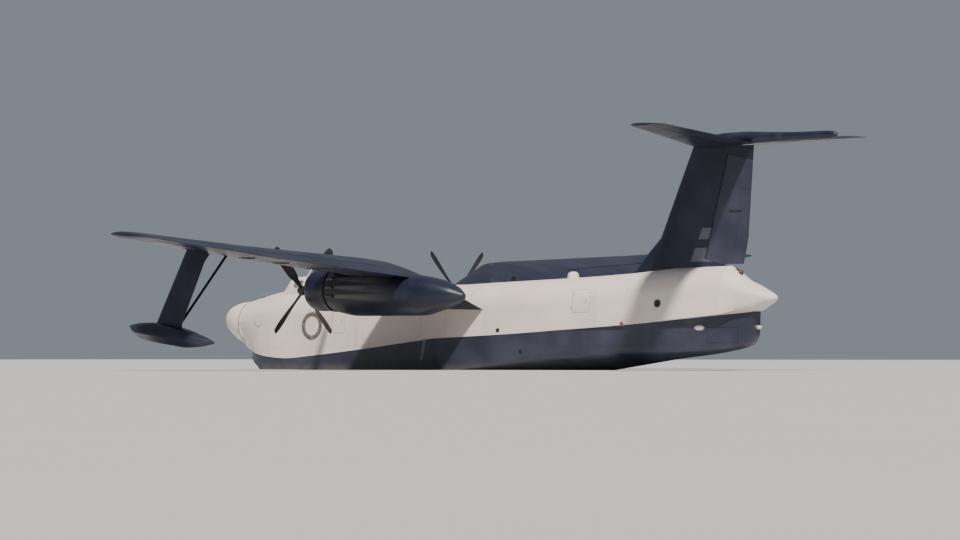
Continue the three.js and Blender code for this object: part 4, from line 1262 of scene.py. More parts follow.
def hits(tree, points, towards, far=30):
    # where lines towards a direction first meet a surface, with its normals
    found = [tree.ray_cast(point - towards * far, towards)[:2] for point in points]
    return [hit for hit in found if hit[0] is not None]


def traced(tree, points, towards, closed=False):
    # the same as (place, outward, onward)
    found = hits(tree, points, towards)
    return [(*hit, along) for hit, along in zip(found, headings([hit[0] for hit in found], closed))]


def bead(spots, half, rise, sides=8, closed=False):
    # a strip with a rounded back along traced spots
    turns = [(half * math.cos(a), rise * math.sin(a)) for a in circle(sides)]
    rings = []
    for spot, outward, along in spots:
        across = along.cross(outward).normalized()
        rings.append([spot + across * out + outward * up for out, up in turns])
    return skin([*rings, rings[0]] if closed else rings, not closed)


def strip(points, outward, half, rise, closed=False):
    spots = [(point, outward, along) for point, along in zip(points, headings(points, closed))]
    return bead(spots, half, rise, closed=closed)


def onSkin(centre, towards, outline, step=0.05):
    # an outline of pairs, with points at each step of it, put on the plane that faces a direction
    pairs = []
    for (a, b), (c, d) in zip(outline, outline[1:] + outline[:1]):
        count = max(1, round(math.dist((a, b), (c, d)) / step))
        pairs += [(mix(a, c, k / count), mix(b, d, k / count)) for k in range(count)]
    upward = towards.cross(ahead).normalized()
    upward = upward if upward.z > 0 or abs(upward.z) < 1e-6 else -upward
    return [centre + ahead * a + upward * b for a, b in pairs]


plates = {"sunk": 0.004, "edge": 0.6, "shares": (0.985, 0.7, 0.35, 0.02)}


def patch(tree, centre, towards, outline, rise):
    # a low plate that follows the surface under it; the steps are shares of the outline, with heights
    steps = [(1, -plates["sunk"]), (1, rise * plates["edge"]), *((share, rise) for share in plates["shares"])]
    outer = [point - centre for point in onSkin(centre, towards, outline)]
    rings = []
    for share, height in steps:
        found = hits(tree, [centre + point * share for point in outer], towards)
        rings.append([spot + normal * height for spot, normal in found])
    return skin(rings)


def outlined(tree, centre, towards, outline, half, rise):
    return bead(traced(tree, onSkin(centre, towards, outline), towards, closed=True), half, rise, closed=True)


def oval(width, height, count=28):
    return [(width / 2 * math.cos(a), height / 2 * math.sin(a)) for a in circle(count)]


def rounded(width, height, radius):
    return roundedOutline((-width / 2, -height / 2), (width / 2, height / 2), radius, steps=4)


def sidePlate(aft, up, shape, sizes, rise, rimSizes, half, rimRise):
    # a plate on the hull's side, and the rim round it
    centre = place(aft, 0, up)
    plate = patch(hullTree, centre, inboard, shape(*sizes), rise)
    return plate, outlined(hullTree, centre, inboard, shape(*rimSizes), half, rimRise)


hullTree = surface(upperMesh, coneMesh, bottomMesh, radomeMesh)

# Strips along the chine, the paint line and the stem, and the radome's joint
strips = {
    "chine": (0.022, 0.03), "chineLift": (0.01, 0.012), "chineOut": (0, 0.86, -0.5),
    "chineSpans": ((2, -1), (0, -8)), "line": (0.016, 0.008), "lineLift": 0.004,
    "stem": (0.03, 0.008), "stemOut": (0.7, 0, -0.7), "stemEnd": 4.6,
    "band": [(1.40, 0.0), (1.405, 0.006), (1.443, 0.006), (1.448, 0.0)], "bandReach": 0.4,
}
out, lift = strips["chineLift"]
chineOut, stemOut = Vector(strips["chineOut"]).normalized(), Vector(strips["stemOut"])
chine = []
for part, (start, end) in zip((foreRows, afterRows), strips["chineSpans"]):
    path = [place(row[0], row[3] + out, row[2] + lift) for row in part[start:end]]
    chine.append(strip(path, chineOut, *strips["chine"]))
bothSides("chineStrips", merged(*chine), blueSides)
line = [strip([place(row[0], row[5] + strips["lineLift"], row[4]) for row in rows], outboard, *strips["line"])
        for rows in (foreRows, afterRows)]
bothSides("paintLineStrips", merged(*line), whitePlain)
before, last = hull["radome"][-2:]
bandRings = []
for aft, rise in strips["band"]:
    low, high, half = (mix(a, b, (last[0] - aft) / strips["bandReach"]) for a, b in zip(last[1:], before[1:]))
    bandRings.append(radomeRing([aft, low - rise, high + rise, half + rise]))
piece("radomeBand", skin([*bandRings, bandRings[0]], ends=False), blackRubber)

# Hatches, ports and plates on the hull's sides: where, then the plate's sizes and rise, and its rim's
hatches = {
    "doors": [
        (7.35, 3.3, rounded, (0.66, 1.0, 0.09), 0.004, (0.672, 1.012, 0.095), 0.005, 0.003),
        (19.55, 3.98, rounded, (0.78, 0.86, 0.09), 0.004, (0.792, 0.872, 0.095), 0.005, 0.003),
    ],
    "port": (23.1, 3.86, oval, (0.26, 0.26), 0.004, (0.29, 0.29), 0.018, 0.012),
    "scuff": (11.86, 2.12, (0.15, 0.78, 0.05), 0.22, 0.003),
    "vents": [
        (15.63, 2.88, oval, (0.13, 0.13, 20), 0.005, (0.16, 0.16, 20), 0.01, 0.012),
        (16.7, 2.06, oval, (0.13, 0.13, 20), 0.005, (0.16, 0.16, 20), 0.01, 0.012),
    ],
    "oval": (24.81, 2.94, oval, (0.38, 0.17), 0.012, (0.41, 0.2), 0.012, 0.01),
    "beacon": (21.49, 3.1, oval, (0.12, 0.12, 20), 0.02, (0.15, 0.15, 20), 0.014, 0.012),
    "locker": (2.75, 3.3, oval, (0.46, 0.46, 36), 0.004, (0.472, 0.472, 36), 0.005, 0.004),
    "hinges": (-0.3, 0.3), "hinge": (0.012, 0.06, 0.016, 0.012), "grip": (0.34, 0.07, 0.03, 0.009),
}
doorPlates, doorSeals, metalBits = [], [], []
for door in hatches["doors"]:
    aft, up, _, (width, height, _) = door[:4]
    plate, seal = sidePlate(*door)
    doorPlates.append(plate)
    doorSeals.append(seal)
    gap, reach, half, rise = hatches["hinge"]
    for share in hatches["hinges"]:
        points = [place(aft - width / 2 - gap, 0, up + share * height + d) for d in (-reach, 0, reach)]
        metalBits.append(bead(traced(hullTree, points, inboard), half, rise))
    share, reach, proud, thick = hatches["grip"]
    (low, out, _), _, (high, highOut, _) = traced(
        hullTree, [place(aft + width * share, 0, up + d) for d in (-reach, 0, reach)], inboard
    )
    metalBits.append(tube([low, low + out * proud, high + highOut * proud, high], thick, sides=8))
bothSides("hullDoors", merged(*doorPlates), whitePlain)
bothSides("hullDoorSeals", merged(*doorSeals), blackRubber)
portGlass, rim = sidePlate(*hatches["port"])
metalBits.append(rim)
aft, up, sizes, rake, rise = hatches["scuff"]
scuff = patch(hullTree, place(aft, 0, up), inboard, [(a - b * rake, b) for a, b in rounded(*sizes)], rise)
bothSides("scuffPlates", scuff, wornMetal)
bothSides("hullVents", merged(*(part for vent in hatches["vents"] for part in sidePlate(*vent))), blackRubber)
# the side ports' panes carry painted shade in place of a dark room behind them
bothSides("sidePorts", portGlass, paintedShadeGlass)
for name, key, material in (("sternOvals", "oval", lampGlass), ("sideBeacons", "beacon", redGlass)):
    plate, rim = sidePlate(*hatches[key])
    metalBits.append(rim)
    bothSides(name, plate, material)

# Bow: bollards, a stem band, and a round locker hatch each side
bollard = {
    "at": (2.35, 0.42), "shifts": (-0.09, 0.09), "base": (0.36, 0.13, 0.05), "baseRise": 0.008,
    "post": [(-0.02, 0.03), (0.11, 0.03), (0.12, 0.04), (0.135, 0.042), (0.15, 0.03), (0.155, 0.004)],
}
aft, y = bollard["at"]
for shift in bollard["shifts"]:
    foot = hits(hullTree, [place(aft + shift, y, 0)], downward)[0][0]
    metalBits.append(moved(standing(bollard["post"], sides=14), foot))
metalBits.append(patch(hullTree, place(aft, y, 0), downward, rounded(*bollard["base"]), bollard["baseRise"]))
locker, lockerSeal = sidePlate(*hatches["locker"])
bothSides("bowLockers", locker, whitePlain)
bothSides("bowLockerSeals", lockerSeal, blackRubber)
bothSides("hullFittings", merged(*metalBits), bareMetal)
stem = [place(row[0], 0, row[1]) for row in foreRows if row[0] < strips["stemEnd"]]
piece("stemBand", strip(stem, stemOut, *strips["stem"]), blackRubber)
print("hull fittings made")


# Rivets, along frames and stringers of the hull
def underDeck(aft, y):
    rows, (clear, clearY) = deck["rows"], rivets["clear"]
    half = max(foot for _, _, foot, _ in rows)
    return rows[0][0] - clear < aft < rows[-1][0] + clear and abs(y) < half + clearY


def frameRow(aft, low, high, middle):
    # spots on one frame, between two angles in degrees over the port horizon
    spots, steps = [], rivets["frameSteps"]
    for k in range(steps + 1):
        a = math.radians(mix(low, high, k / steps))
        out = Vector((0, math.cos(a), math.sin(a)))
        found = hits(hullTree, [place(aft, 0, middle)], -out)
        spots += [hit for hit in found if not underDeck(aft, hit[0].y)]
    return [(*hit, along) for hit, along in zip(spots, headings([hit[0] for hit in spots]))]


whitePaths, bluePaths = [], []
first, last = rivets["frameAft"]
for k in rivets["frames"]:
    aft = stepStation - rivets["frame"] * k + rivets["beside"]
    if not first < aft < last:
        continue
    row = next(row for row in foreRows + afterRows if row[0] >= aft)
    chine, chineHalf, line, lineHalf = row[2:6]
    middle = line + rivets["overLine"]
    overLine, overChine = rivets["edges"]
    slope = math.degrees(math.atan2(line + overLine - middle, lineHalf))
    whitePaths.append(frameRow(aft, slope, 90, middle))
    if line - chine > rivets["blueFrom"]:
        low = math.degrees(math.atan2(chine + overChine - middle, chineHalf))
        bluePaths.append(frameRow(aft, low, slope - rivets["blueGap"], middle))
steps = rivets["stringerSteps"]
for k, span in rivets["stringers"]:
    up = draft + rivets["stringer"] * k - rivets["beside"]
    path = traced(hullTree, [place(mix(*span, i / steps), 0, up) for i in range(steps + 1)], inboard)
    (bluePaths if k == 1 else whitePaths).append(path)
laid("hullRivetsWhite", whitePaths, rivetHead, whitePlain, spacing=rivets["spacing"])
laid("hullRivetsBlue", bluePaths, rivetHead, blueSides, spacing=rivets["spacing"])
print("hull rivets made")


# Wings and tail: rivets, covers, tab outlines, hinge fairings, lights, discharge wicks and the probe
def foilRow(tree, foil, ends, shares, towards, steps=90):
    # spots on a surface, along a line between two places on the span and two shares of the chord
    points = [foil.point(foil.at(mix(*ends, k / steps)), mix(*shares, k / steps)) for k in range(steps + 1)]
    return traced(tree, points, towards)


def foilGrid(tree, foil, towards, ribs, shares, rows, span, steps=90):
    # rows of spots along the ribs, and along the span
    paths = [foilRow(tree, foil, (rib, rib), shares, towards, steps=30) for rib in ribs]
    return paths + [foilRow(tree, foil, span, (share, share), towards, steps) for share in rows]


edges = {"tab": (0.006, 0.003), "wickFrom": 0.99, "wick": (0, 0.05, 0.15), "wickRadii": [0.006, 0.004, 0.002]}


def foilOutline(tree, foil, ends, shares, towards):
    corners = [(ends[0], shares[0]), (ends[1], shares[0]), (ends[1], shares[1]), (ends[0], shares[1])]
    spots = []
    for (a, s), (b, t) in zip(corners, corners[1:] + corners[:1]):
        spots += foilRow(tree, foil, (a, b), (s, t), towards, steps=12)[:-1]
    return bead(spots, *edges["tab"], closed=True)


def bulb(aft, y, up, length, radius, sides=20, steps=12, tip=0.0004):
    # an egg-shaped lens along X
    profile = []
    for a in (math.pi * k / steps for k in range(steps + 1)):
        profile.append((aft - length / 2 * math.cos(a), max(tip, radius * math.sin(a))))
    return lathe(profile, y, up, sides)


def wicks(foil, spots):
    roots = [foil.point(foil.at(spot), edges["wickFrom"]) for spot in spots]
    paths = [[root + aftward * step for step in edges["wick"]] for root in roots]
    return [tube(path, edges["wickRadii"], sides=6) for path in paths]


wingFittings = {
    "ribs": (1.3, 2, 14), "grid": ((0.04, 0.7), (0.1, 0.4, 0.69), (1.9, 17.2), 160),
    "covers": [(0.3, 6.9, 0.26), (0.3, 9.6, 0.26), (0.35, 12.9, 0.22), (0.35, 15.6, 0.22)],
    "coverMargin": 0.03, "coverShape": 0.8, "coverRise": 0.003, "coverScrews": 16,
    "fairings": (6.3, 8.3, 10.3, 12.1), "fairing": ((0.42, 0.5, 0.6, 0.69), [0.006, 0.045, 0.05, 0.03]),
    "wicks": (13.1, 14.4, 15.7, 16.9), "tab": ((12.9, 14.6), (0.9, 0.985)),
    "lamp": (11.245, 17.9, 6.315, 0.15, 0.034), "probe": (15.2, 0.01),
    "probeSteps": [(-0.03, 0.02), (0.1, 0.016), (0.3, 0.014), (0.31, 0.019), (0.46, 0.019), (0.48, 0.008)],
}
foil, faces, spacing = wing["foil"], (downward, upwards), rivets["spacing"]
wingTree, aileronTree = surface(wingInner, wingOuter), surface(aileronMesh)
pitch, first, last = wingFittings["ribs"]
ribs, margin = [pitch * k + rivets["beside"] for k in range(first, last)], wingFittings["coverMargin"]
paths, covers, screws = [], [], []
for towards in faces:
    paths += foilGrid(wingTree, foil, towards, ribs, *wingFittings["grid"])
    for share, y, width in wingFittings["covers"]:
        middle, height = foil.point(foil.at(y), share), width * wingFittings["coverShape"]
        covers.append(patch(wingTree, middle, towards, oval(width, height), wingFittings["coverRise"]))
        outline = oval(width + margin, height + margin, wingFittings["coverScrews"])
        spots = onSkin(middle, towards, outline, step=1)
        screws.append(traced(wingTree, spots, towards, closed=True))
laid("wingRivets", paths, rivetHead, blueWing, spacing=spacing)
bothSides("wingCovers", merged(*covers), blueWing)
laid("wingCoverScrews", screws, rivetHead, bareMetal)
shares, radii = wingFittings["fairing"]
fairings = []
for y in wingFittings["fairings"]:
    station = foil.at(y)
    path = [foil.point(station, share, -halfThickness(station, share)) for share in shares]
    fairings.append(tube(path, radii, sides=14))
bothSides("flapHingeFairings", merged(*fairings), blueWing)
tabs = [foilOutline(aileronTree, foil, *wingFittings["tab"], towards) for towards in faces]
bothSides("aileronTabs", merged(*tabs), blackRubber, body="aileron")
bothSides("aileronWicks", merged(*wicks(foil, wingFittings["wicks"])), blackRubber, body="aileron")
tipLamp = bulb(*wingFittings["lamp"])
piece("tipLamp_left", tipLamp, redGlass)
piece("tipLamp_right", mirrored(tipLamp), greenGlass)
y, share = wingFittings["probe"]
root, (steps, radii) = foil.point(foil.at(y), share), zip(*wingFittings["probeSteps"])
piece("airProbe", tube([root + ahead * step for step in steps], radii, sides=14), bareMetal)

tailFittings = {
    "finRibs": (0.94, 5, 9), "finGrid": ((0.05, 0.6), (0.2, 0.58), (5.9, 9.3)),
    "rudderTab": ((5.95, 8.1), (0.87, 0.985)), "rudderWicks": (6.4, 7.6, 8.8),
    "fairing": ((7.3, 7.3), (0.76, 0.9)), "fairingSize": (0.03, 0.03, 12),
    "ribs": (1.33, 2.63, 3.93, 5.23), "grid": ((0.05, 0.62), (0.3,), (0.5, 6.1)),
    "tab": ((0.9, 2.6), (0.87, 0.98)), "wicks": (3.2, 4.5, 5.8),
}
foil, finTree, rudderTree = fin["foil"], surface(finMesh), surface(rudderMesh)
pitch, first, last = tailFittings["finRibs"]
ribs = [draft + pitch * k + rivets["beside"] for k in range(first, last)]
paths = foilGrid(finTree, foil, inboard, ribs, *tailFittings["finGrid"])
laid("finRivets", paths, rivetHead, blueFin, spacing=spacing)
fairing = foilRow(rudderTree, foil, *tailFittings["fairing"], inboard, steps=8)
fairing = bead(fairing, *tailFittings["fairingSize"])
tabs = [foilOutline(rudderTree, foil, *tailFittings["rudderTab"], inboard), fairing]
tabs += [mirrored(part) for part in tabs]
piece("rudderTab", merged(*tabs, *wicks(foil, tailFittings["rudderWicks"])), blackRubber, body="rudder")
foil, tailTree, elevatorTree = tailplane["foil"], surface(tailFixed), surface(elevatorMesh)
ribs, grid = tailFittings["ribs"], tailFittings["grid"]
paths = [path for towards in faces for path in foilGrid(tailTree, foil, towards, ribs, *grid)]
laid("tailplaneRivets", paths, rivetHead, blueWing, spacing=spacing)
tabs = [foilOutline(elevatorTree, foil, *tailFittings["tab"], towards) for towards in faces]
bothSides("elevatorTabs", merged(*tabs, *wicks(foil, tailFittings["wicks"])), blackRubber, body="elevator")
print("wing and tail fittings made")

# Floats: chine strips, nose bumpers, inspection covers, cleats and foot fittings
floatFittings = {
    "trim": (0.014, 0.014), "trimLift": (0.004, 0.008), "covers": (9.15, 11.45), "cover": (0.3, 0.24),
    "coverRise": 0.004, "screws": (0.27, 0.21, 14), "cleats": (8.95, 12.0), "cleatThick": 0.012, "from": 3.0,
    "cleat": ((-0.07, 0.008), (-0.04, 0.035), (0.04, 0.035), (0.07, 0.008)), "bumper": (8.9, 2.9, 0.012, 3),
    "collar": Foil(
        "up", "y aft up chord thick", (14.2, 9.62, 2.9, 1.42, 0.2), (14.1872, 9.634, 3.06, 1.39, 0.19),
        (14.1744, 9.648, 3.09, 1.36, 0.18), (14.1616, 9.662, 3.12, 1.33, 0.17),
    ),
}
floatTree, floatY, floatUp = surface(floatMesh), wingFloat["y"], floatFittings["from"]
out, lift = floatFittings["trimLift"]
lean = Vector(strips["chineOut"])
trim, covers, screws = [], [], []
for side in (-1, 1):
    points = [place(row[0], floatY + side * (row[3] + out), row[2] + lift) for row in floatRows[2:-2]]
    trim.append(strip(points, Vector((0, side * lean.y, lean.z)), *floatFittings["trim"]))
rise = floatFittings["coverRise"]
for middle in (place(aft, floatY, floatUp) for aft in floatFittings["covers"]):
    covers.append(patch(floatTree, middle, downward, oval(*floatFittings["cover"]), rise))
    outline = onSkin(middle, downward, oval(*floatFittings["screws"]), step=1)
    spots = traced(floatTree, outline, downward, closed=True)
    screws.append([(spot + outward * rise, outward, along) for spot, outward, along in spots])
for aft in floatFittings["cleats"]:
    shifts, lifts = zip(*floatFittings["cleat"])
    found = hits(floatTree, [place(aft + shift, floatY, floatUp) for shift in shifts], downward)
    path = [spot + upwards * lift for (spot, _), lift in zip(found, lifts)]
    covers.append(tube(path, floatFittings["cleatThick"], sides=10))
aft, up, grow, count = floatFittings["bumper"]
middle = place(aft, floatY, up)
nose = [[point + (point - middle) * grow for point in floatRing(row)] for row in floatRows[:count]]
bothSides("floatTrim", merged(*trim), blueHull)
bothSides("floatCovers", merged(*covers), wornMetal)
laid("floatScrews", screws, rivetHead, bareMetal)
bothSides("floatBumpers", skin(nose), blackRubber)
collar = floatFittings["collar"]
bothSides("pylonCollars", skin([collar.ring(station) for station in collar.stations]), blueHull)
print("float fittings made")

# Searchlight, dome and lamps
lamps = {
    "light": (16.6, 5.43),
    "pod": [
        [11.19, 0.30], [11.181, 0.318], [11.184, 0.335], [11.2, 0.35], [11.23, 0.398], [11.26, 0.405],
        [11.3, 0.405], [11.31, 0.412], [11.5, 0.42], [11.75, 0.415], [11.76, 0.405], [11.8, 0.405],
        [11.81, 0.412], [12.0, 0.4], [12.2, 0.355], [12.35, 0.285], [12.44, 0.15], [12.48, 0.01],
        [12.3, 0.01], [11.6, 0.02], [11.46, 0.12], [11.3, 0.24], [11.22, 0.295],
    ],
    "glass": [
        [11.195, 0.005], [11.197, 0.15], [11.205, 0.292], [11.212, 0.292], [11.204, 0.15], [11.202, 0.005],
    ],
    "saddle": Foil(
        "up", "up y aft chord thick", (5.72, 16.6, 11.38, 0.74, 0.2), (5.9, 16.6, 11.36, 0.78, 0.2),
        (6.08, 16.6, 11.34, 0.8, 0.2),
    ),
    "bolts": (11.28, 0.405, 12), "bolt": (0.016, 0.008, 6), "domeAft": 18.2, "domeScrews": (0.228, 0.03, 18),
    "dome": [
        (-0.09, 0.235), (0.0, 0.238), (0.03, 0.238), (0.035, 0.222), (0.1, 0.218), (0.17, 0.195),
        (0.22, 0.155), (0.244, 0.09), (0.25, 0.004),
    ],
    "tail": (26.21, 0, 4.75),
    "tailHousing": [(0, 0.108), (0.2, 0.108), (0.215, 0.1), (0.235, 0.1), (0.24, 0.085), (0.245, 0.004)],
    "tailLens": [(0.243, 0.086), (0.27, 0.084), (0.3, 0.07), (0.322, 0.04), (0.329, 0.004)],
    "sternUp": 2.95,
    "sternHousing": [[26.8, 0.004], [26.801, 0.088], [27.03, 0.088], [27.05, 0.082], [27.05, 0.004]],
    "sternLens": [
        [27.051, 0.004], [27.051, 0.078], [27.1, 0.074], [27.15, 0.058], [27.185, 0.03], [27.196, 0.003],
    ],
    "aerial": Foil(
        "up", "up y aft chord thick", (4.6, 0, 15.0, 0.34, 0.14), (4.95, 0, 15.12, 0.2, 0.14),
        (4.98, 0, 15.15, 0.15, 0.14),
    ),
}
y, up = lamps["light"]
aft, radius, count = lamps["bolts"]
ways = [radial(math.pi / 2 - a) for a in circle(count)]
spots = [(place(aft, y, up) + way * radius, way, ahead) for way in ways]
bolts = repeated([spots], stud(*lamps["bolt"]), bareMetal)
pod = merged(lathe(lamps["pod"], y, up, sides=56), lamps["saddle"].body())
piece("searchlightPod", mirrored(pod), blackPaint, "searchlight")
piece("searchlightLens", mirrored(lathe(lamps["glass"], y, up, sides=48)), lampGlass)
piece("searchlightBolts", mirrored(bolts), bareMetal)
domeBase = hits(hullTree, [place(lamps["domeAft"], 0, 0)], downward)[0][0]
piece("dorsalDomeShell", moved(standing(lamps["dome"], sides=40), domeBase), whitePlain, "dorsal_dome")
radius, rise, count = lamps["domeScrews"]
spots = [domeBase + Vector((radius * math.cos(a), radius * math.sin(a), rise)) for a in circle(count)]
screws = repeated([[(spot, upwards, ahead) for spot in spots]], rivetHead, bareMetal)
piece("dorsalDomeScrews", screws, bareMetal)
tailAt = place(*lamps["tail"])
piece("tailLampHousing", moved(standing(lamps["tailHousing"], sides=28), tailAt), blackPaint, "tail_light")
piece("tailLampLens", moved(standing(lamps["tailLens"], sides=28), tailAt), redGlass)
housing, lens = (lathe(lamps[key], 0, lamps["sternUp"], sides=32) for key in ("sternHousing", "sternLens"))
piece("sternLampHousing", housing, bareMetal, "stern_light")
piece("sternLampLens", lens, lampGlass)
piece("bladeAerial", lamps["aerial"].body(), blackPaint)
print("lamps made")

# Pilots' seats: frames, harnesses, and cushions blown up as cloth
seat = {
    "frames": 18, "pressure": 4.0, "voxel": 0.009, "cap": 0.012, "fill": 0.6, "corner": 0.016,
    "pan": ((5.02, 5.37), (0.185, 0.575), (4.04, 4.085)),
    "back": ((5.388, 5.436), (0.185, 0.575), (4.14, 4.735)),
    "channels": 3, "channelDepth": 0.005, "channelWidth": 0.014, "piping": (0.03, 0.005),
    "blocks": [
        ((4.995, 5.465), (0.16, 0.6), (4.003, 4.03), 0.01),
        ((5.443, 5.468), (0.16, 0.6), (4.01, 4.755), 0.011),
        ((5.1, 5.36), (0.25, 0.51), (3.6805, 3.698), 0.006),
    ],
    "post": (5.23, 0.38), "postSteps": ((3.682, 0.12), (3.7, 0.12), (3.71, 0.06), (4.01, 0.055)),
    "arms": (0.1425, 0.6175), "arm": ((5.03, 5.44), 0.011, (4.225, 4.257), 0.009),
    "rods": (((5.08, 4.06), (5.08, 4.235)), ((5.4, 4.06), (5.4, 4.235)), ((5.08, 4.06), (5.4, 4.06))),
    "rod": 0.008, "straps": (0.3, 0.46), "strap": (0.02, 0.003), "lean": (1, 0, 0.4),
    "buckle": ((5.27, 5.31), (0.35, 0.41), (4.1, 4.125), 0.008),
    "route": ((5.44, 0, 4.757), (5.37, 0, 4.7), (5.362, 0, 4.45), (5.365, 0.5, 4.2), (5.3, 0.75, 4.115)),
}


def cushion(space, lengthwise):
    # a soft block, blown up as cloth with no point moving further than the cap; then its sewn channels
    thing = added("cushion", softBox(*space, seat["corner"], steps=3))
    voxels = thing.modifiers.new("voxels", "REMESH")
    voxels.mode, voxels.voxel_size = "VOXEL", seat["voxel"]
    thing.data = evaluated(thing)
    thing.modifiers.clear()
    start = [v.co.copy() for v in thing.data.vertices]
    cloth = thing.modifiers.new("cloth", "CLOTH")
    cloth.settings.use_pressure = True
    cloth.settings.uniform_pressure_force = seat["pressure"]
    cloth.settings.effector_weights.gravity = 0
    for step in range(1, seat["frames"] + 1):
        bpy.context.scene.frame_set(step)
    for v, end, first in zip(thing.data.vertices, evaluated(thing).vertices, start):
        move = end.co - first
        v.co = first + move * min(1, seat["cap"] / max(move.length, 1e-6))
    bpy.context.scene.frame_set(1)
    low, high = (Vector(f(v[i] for v in start) for i in range(3)) for f in (min, max))
    thin = 2 if lengthwise != 2 else 0
    panels, middle = seat["channels"] + 1, (low + high)[thin] / 2
    length = high[lengthwise] - low[lengthwise]
    for v in thing.data.vertices:
        share = (v.co[lengthwise] - low[lengthwise]) / length * panels
        if 0 < round(share) < panels:
            away = abs(share - round(share)) * length / panels
            depth = seat["channelDepth"] * math.exp(-((away / seat["channelWidth"]) ** 2))
            v.co[thin] -= math.copysign(depth, v.co[thin] - middle)
    mesh = thing.data
    bpy.data.objects.remove(thing)
    return mesh


def piping(space, flat):
    # round a cushion, halfway up its edge
    (front, back), (right, left), (low, high) = space
    corner, thick = seat["piping"]
    if flat:
        outline = roundedOutline((front, right), (back, left), corner)
        points = [place(aft, y, mix(low, high, 0.5)) for aft, y in outline]
    else:
        outline = roundedOutline((right, low), (left, high), corner)
        points = [place(mix(front, back, 0.5), y, up) for y, up in outline]
    return strip(points, upwards if flat else ahead, thick, thick, closed=True)


aft, y = seat["post"]
heights, radii = zip(*seat["postSteps"])
parts = [softBox(*sizes) for sizes in seat["blocks"]]
parts.append(tube([place(aft, y, up) for up in heights], radii, sides=24))
for side in seat["arms"]:
    long, half, up, radius = seat["arm"]
    parts.append(softBox(long, around(side, half), up, radius))
    parts += [tube([place(aft, side, up) for aft, up in rod], seat["rod"], sides=10) for rod in seat["rods"]]
bothSides("seatFrame", merged(*parts), darkMetal, "pilot_seat")
for name, lengthwise in (("pan", 0), ("back", 2)):
    pad = merged(cushion(seat[name], lengthwise), piping(seat[name], name == "pan"))
    for made in bothSides(f"{name}Cushion", pad, seatCloth, smooth=60):
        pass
lean, straps = Vector(seat["lean"]).normalized(), [softBox(*seat["buckle"])]
for side in seat["straps"]:
    points = [place(aft, mix(side, y, share), up) for aft, share, up in seat["route"]]
    straps.append(strip(points, lean, *seat["strap"]))
bothSides("seatHarness", merged(*straps), wornMetal, slot="seat_fabric")
print("seats made")

# Instrument panel: board, coaming, pedestal with its levers, dials, switches, wheels and pedals
cockpit = {
    "boards": [  # the first is the instrument board
        ((4.232, 4.298), (-0.598, 0.598), (4.182, 4.556), 0.02),
        ((4.062, 4.33), (-0.598, 0.598), (4.545, 4.579), 0.014),
        ((4.182, 4.698), (-0.108, 0.108), (3.681, 4.206), 0.02),
        ((4.2, 4.66), (-0.09, 0.09), (4.2, 4.216), 0.006),
        ((4.02, 6.33), (-0.7, 0.7), (3.6803, 3.689), 0.004, 1),
    ],
    "dialColumns": ((-0.38, (-1, 0, 1)), (0.38, (-1, 0, 1)), (0, (0,))), "dialUp": 4.25, "pitch": 0.088,
    "bezel": [(-0.004, 0.036), (0.008, 0.036), (0.011, 0.033), (0.007, 0.03), (0.006, 0.002)],
    "tick": ((-0.0285, -0.023), (-0.0011, 0.0011), (0.006, 0.0075), 0.0004),
    "needle": ((-0.021, 0.004), (-0.0014, 0.0014), (0.0072, 0.009), 0.0005),
    "tickTurns": range(-120, 121, 30), "needleTurn": 0.7,
    "switches": (-0.55, 0.05, 23, 0.12, 4.2),
    "toggle": [
        (-0.003, 0.008), (0.004, 0.008), (0.006, 0.003), (0.02, 0.0025), (0.024, 0.0035), (0.026, 0.0005),
    ],
    "levers": (-0.06, -0.02, 0.02, 0.06), "lever": ((4.44, 4.2), (4.4, 4.31)), "leverThick": 0.006,
    "knobAft": 4.398, "knob": (4.325, 0.04, 0.014),
    "wheels": (-0.38, 0.38), "wheel": (4.55, 4.3, 0.15), "rim": (40, 280, 30, 0.011), "spokes": (8, 22),
    "spoke": 0.008, "column": (0.01, 0.03, (0.018, 0.022)),
    "pedals": (-0.1, 0.1), "pedal": ((4.3, 4.318), 0.05, (3.8, 3.9), 0.007),
    "pedalRod": ((4.31, 3.83), (4.12, 3.69)), "pedalRodThick": 0.01,
    "wipers": (-0.35, 0.0, 0.35), "wiperThick": 0.006,
    "wiper": (  # arm and blade: height over the glass, and places aft and across
        (0.016, ((3.78, 0.1), (3.84, 0.06), (3.9, 0.02), (3.96, -0.02), (4.02, -0.06))),
        (0.012, ((3.91, -0.08), (3.98, -0.05), (4.05, -0.02))),
    ),
}
boardAft = cockpit["boards"][0][0][1]
boards = [softBox(*sizes) for sizes in cockpit["boards"]]
piece("cockpitPanel", merged(*boards), blackPaint, "instrument_panel")
pitch, dialUp, dialSpots = cockpit["pitch"], cockpit["dialUp"], []
for cluster, columns in cockpit["dialColumns"]:
    for column in columns:
        spots = [place(boardAft, cluster + column * pitch, dialUp + row * pitch) for row in range(3)]
        dialSpots += [(spot, aftward, upwards) for spot in spots]


def mark(long, across, up, radius, turn):
    made = softBox([stepStation + x for x in long], across, [draft + z for z in up], radius, steps=1)
    return reshaped(made, Matrix.Rotation(turn, 4, "Z"))


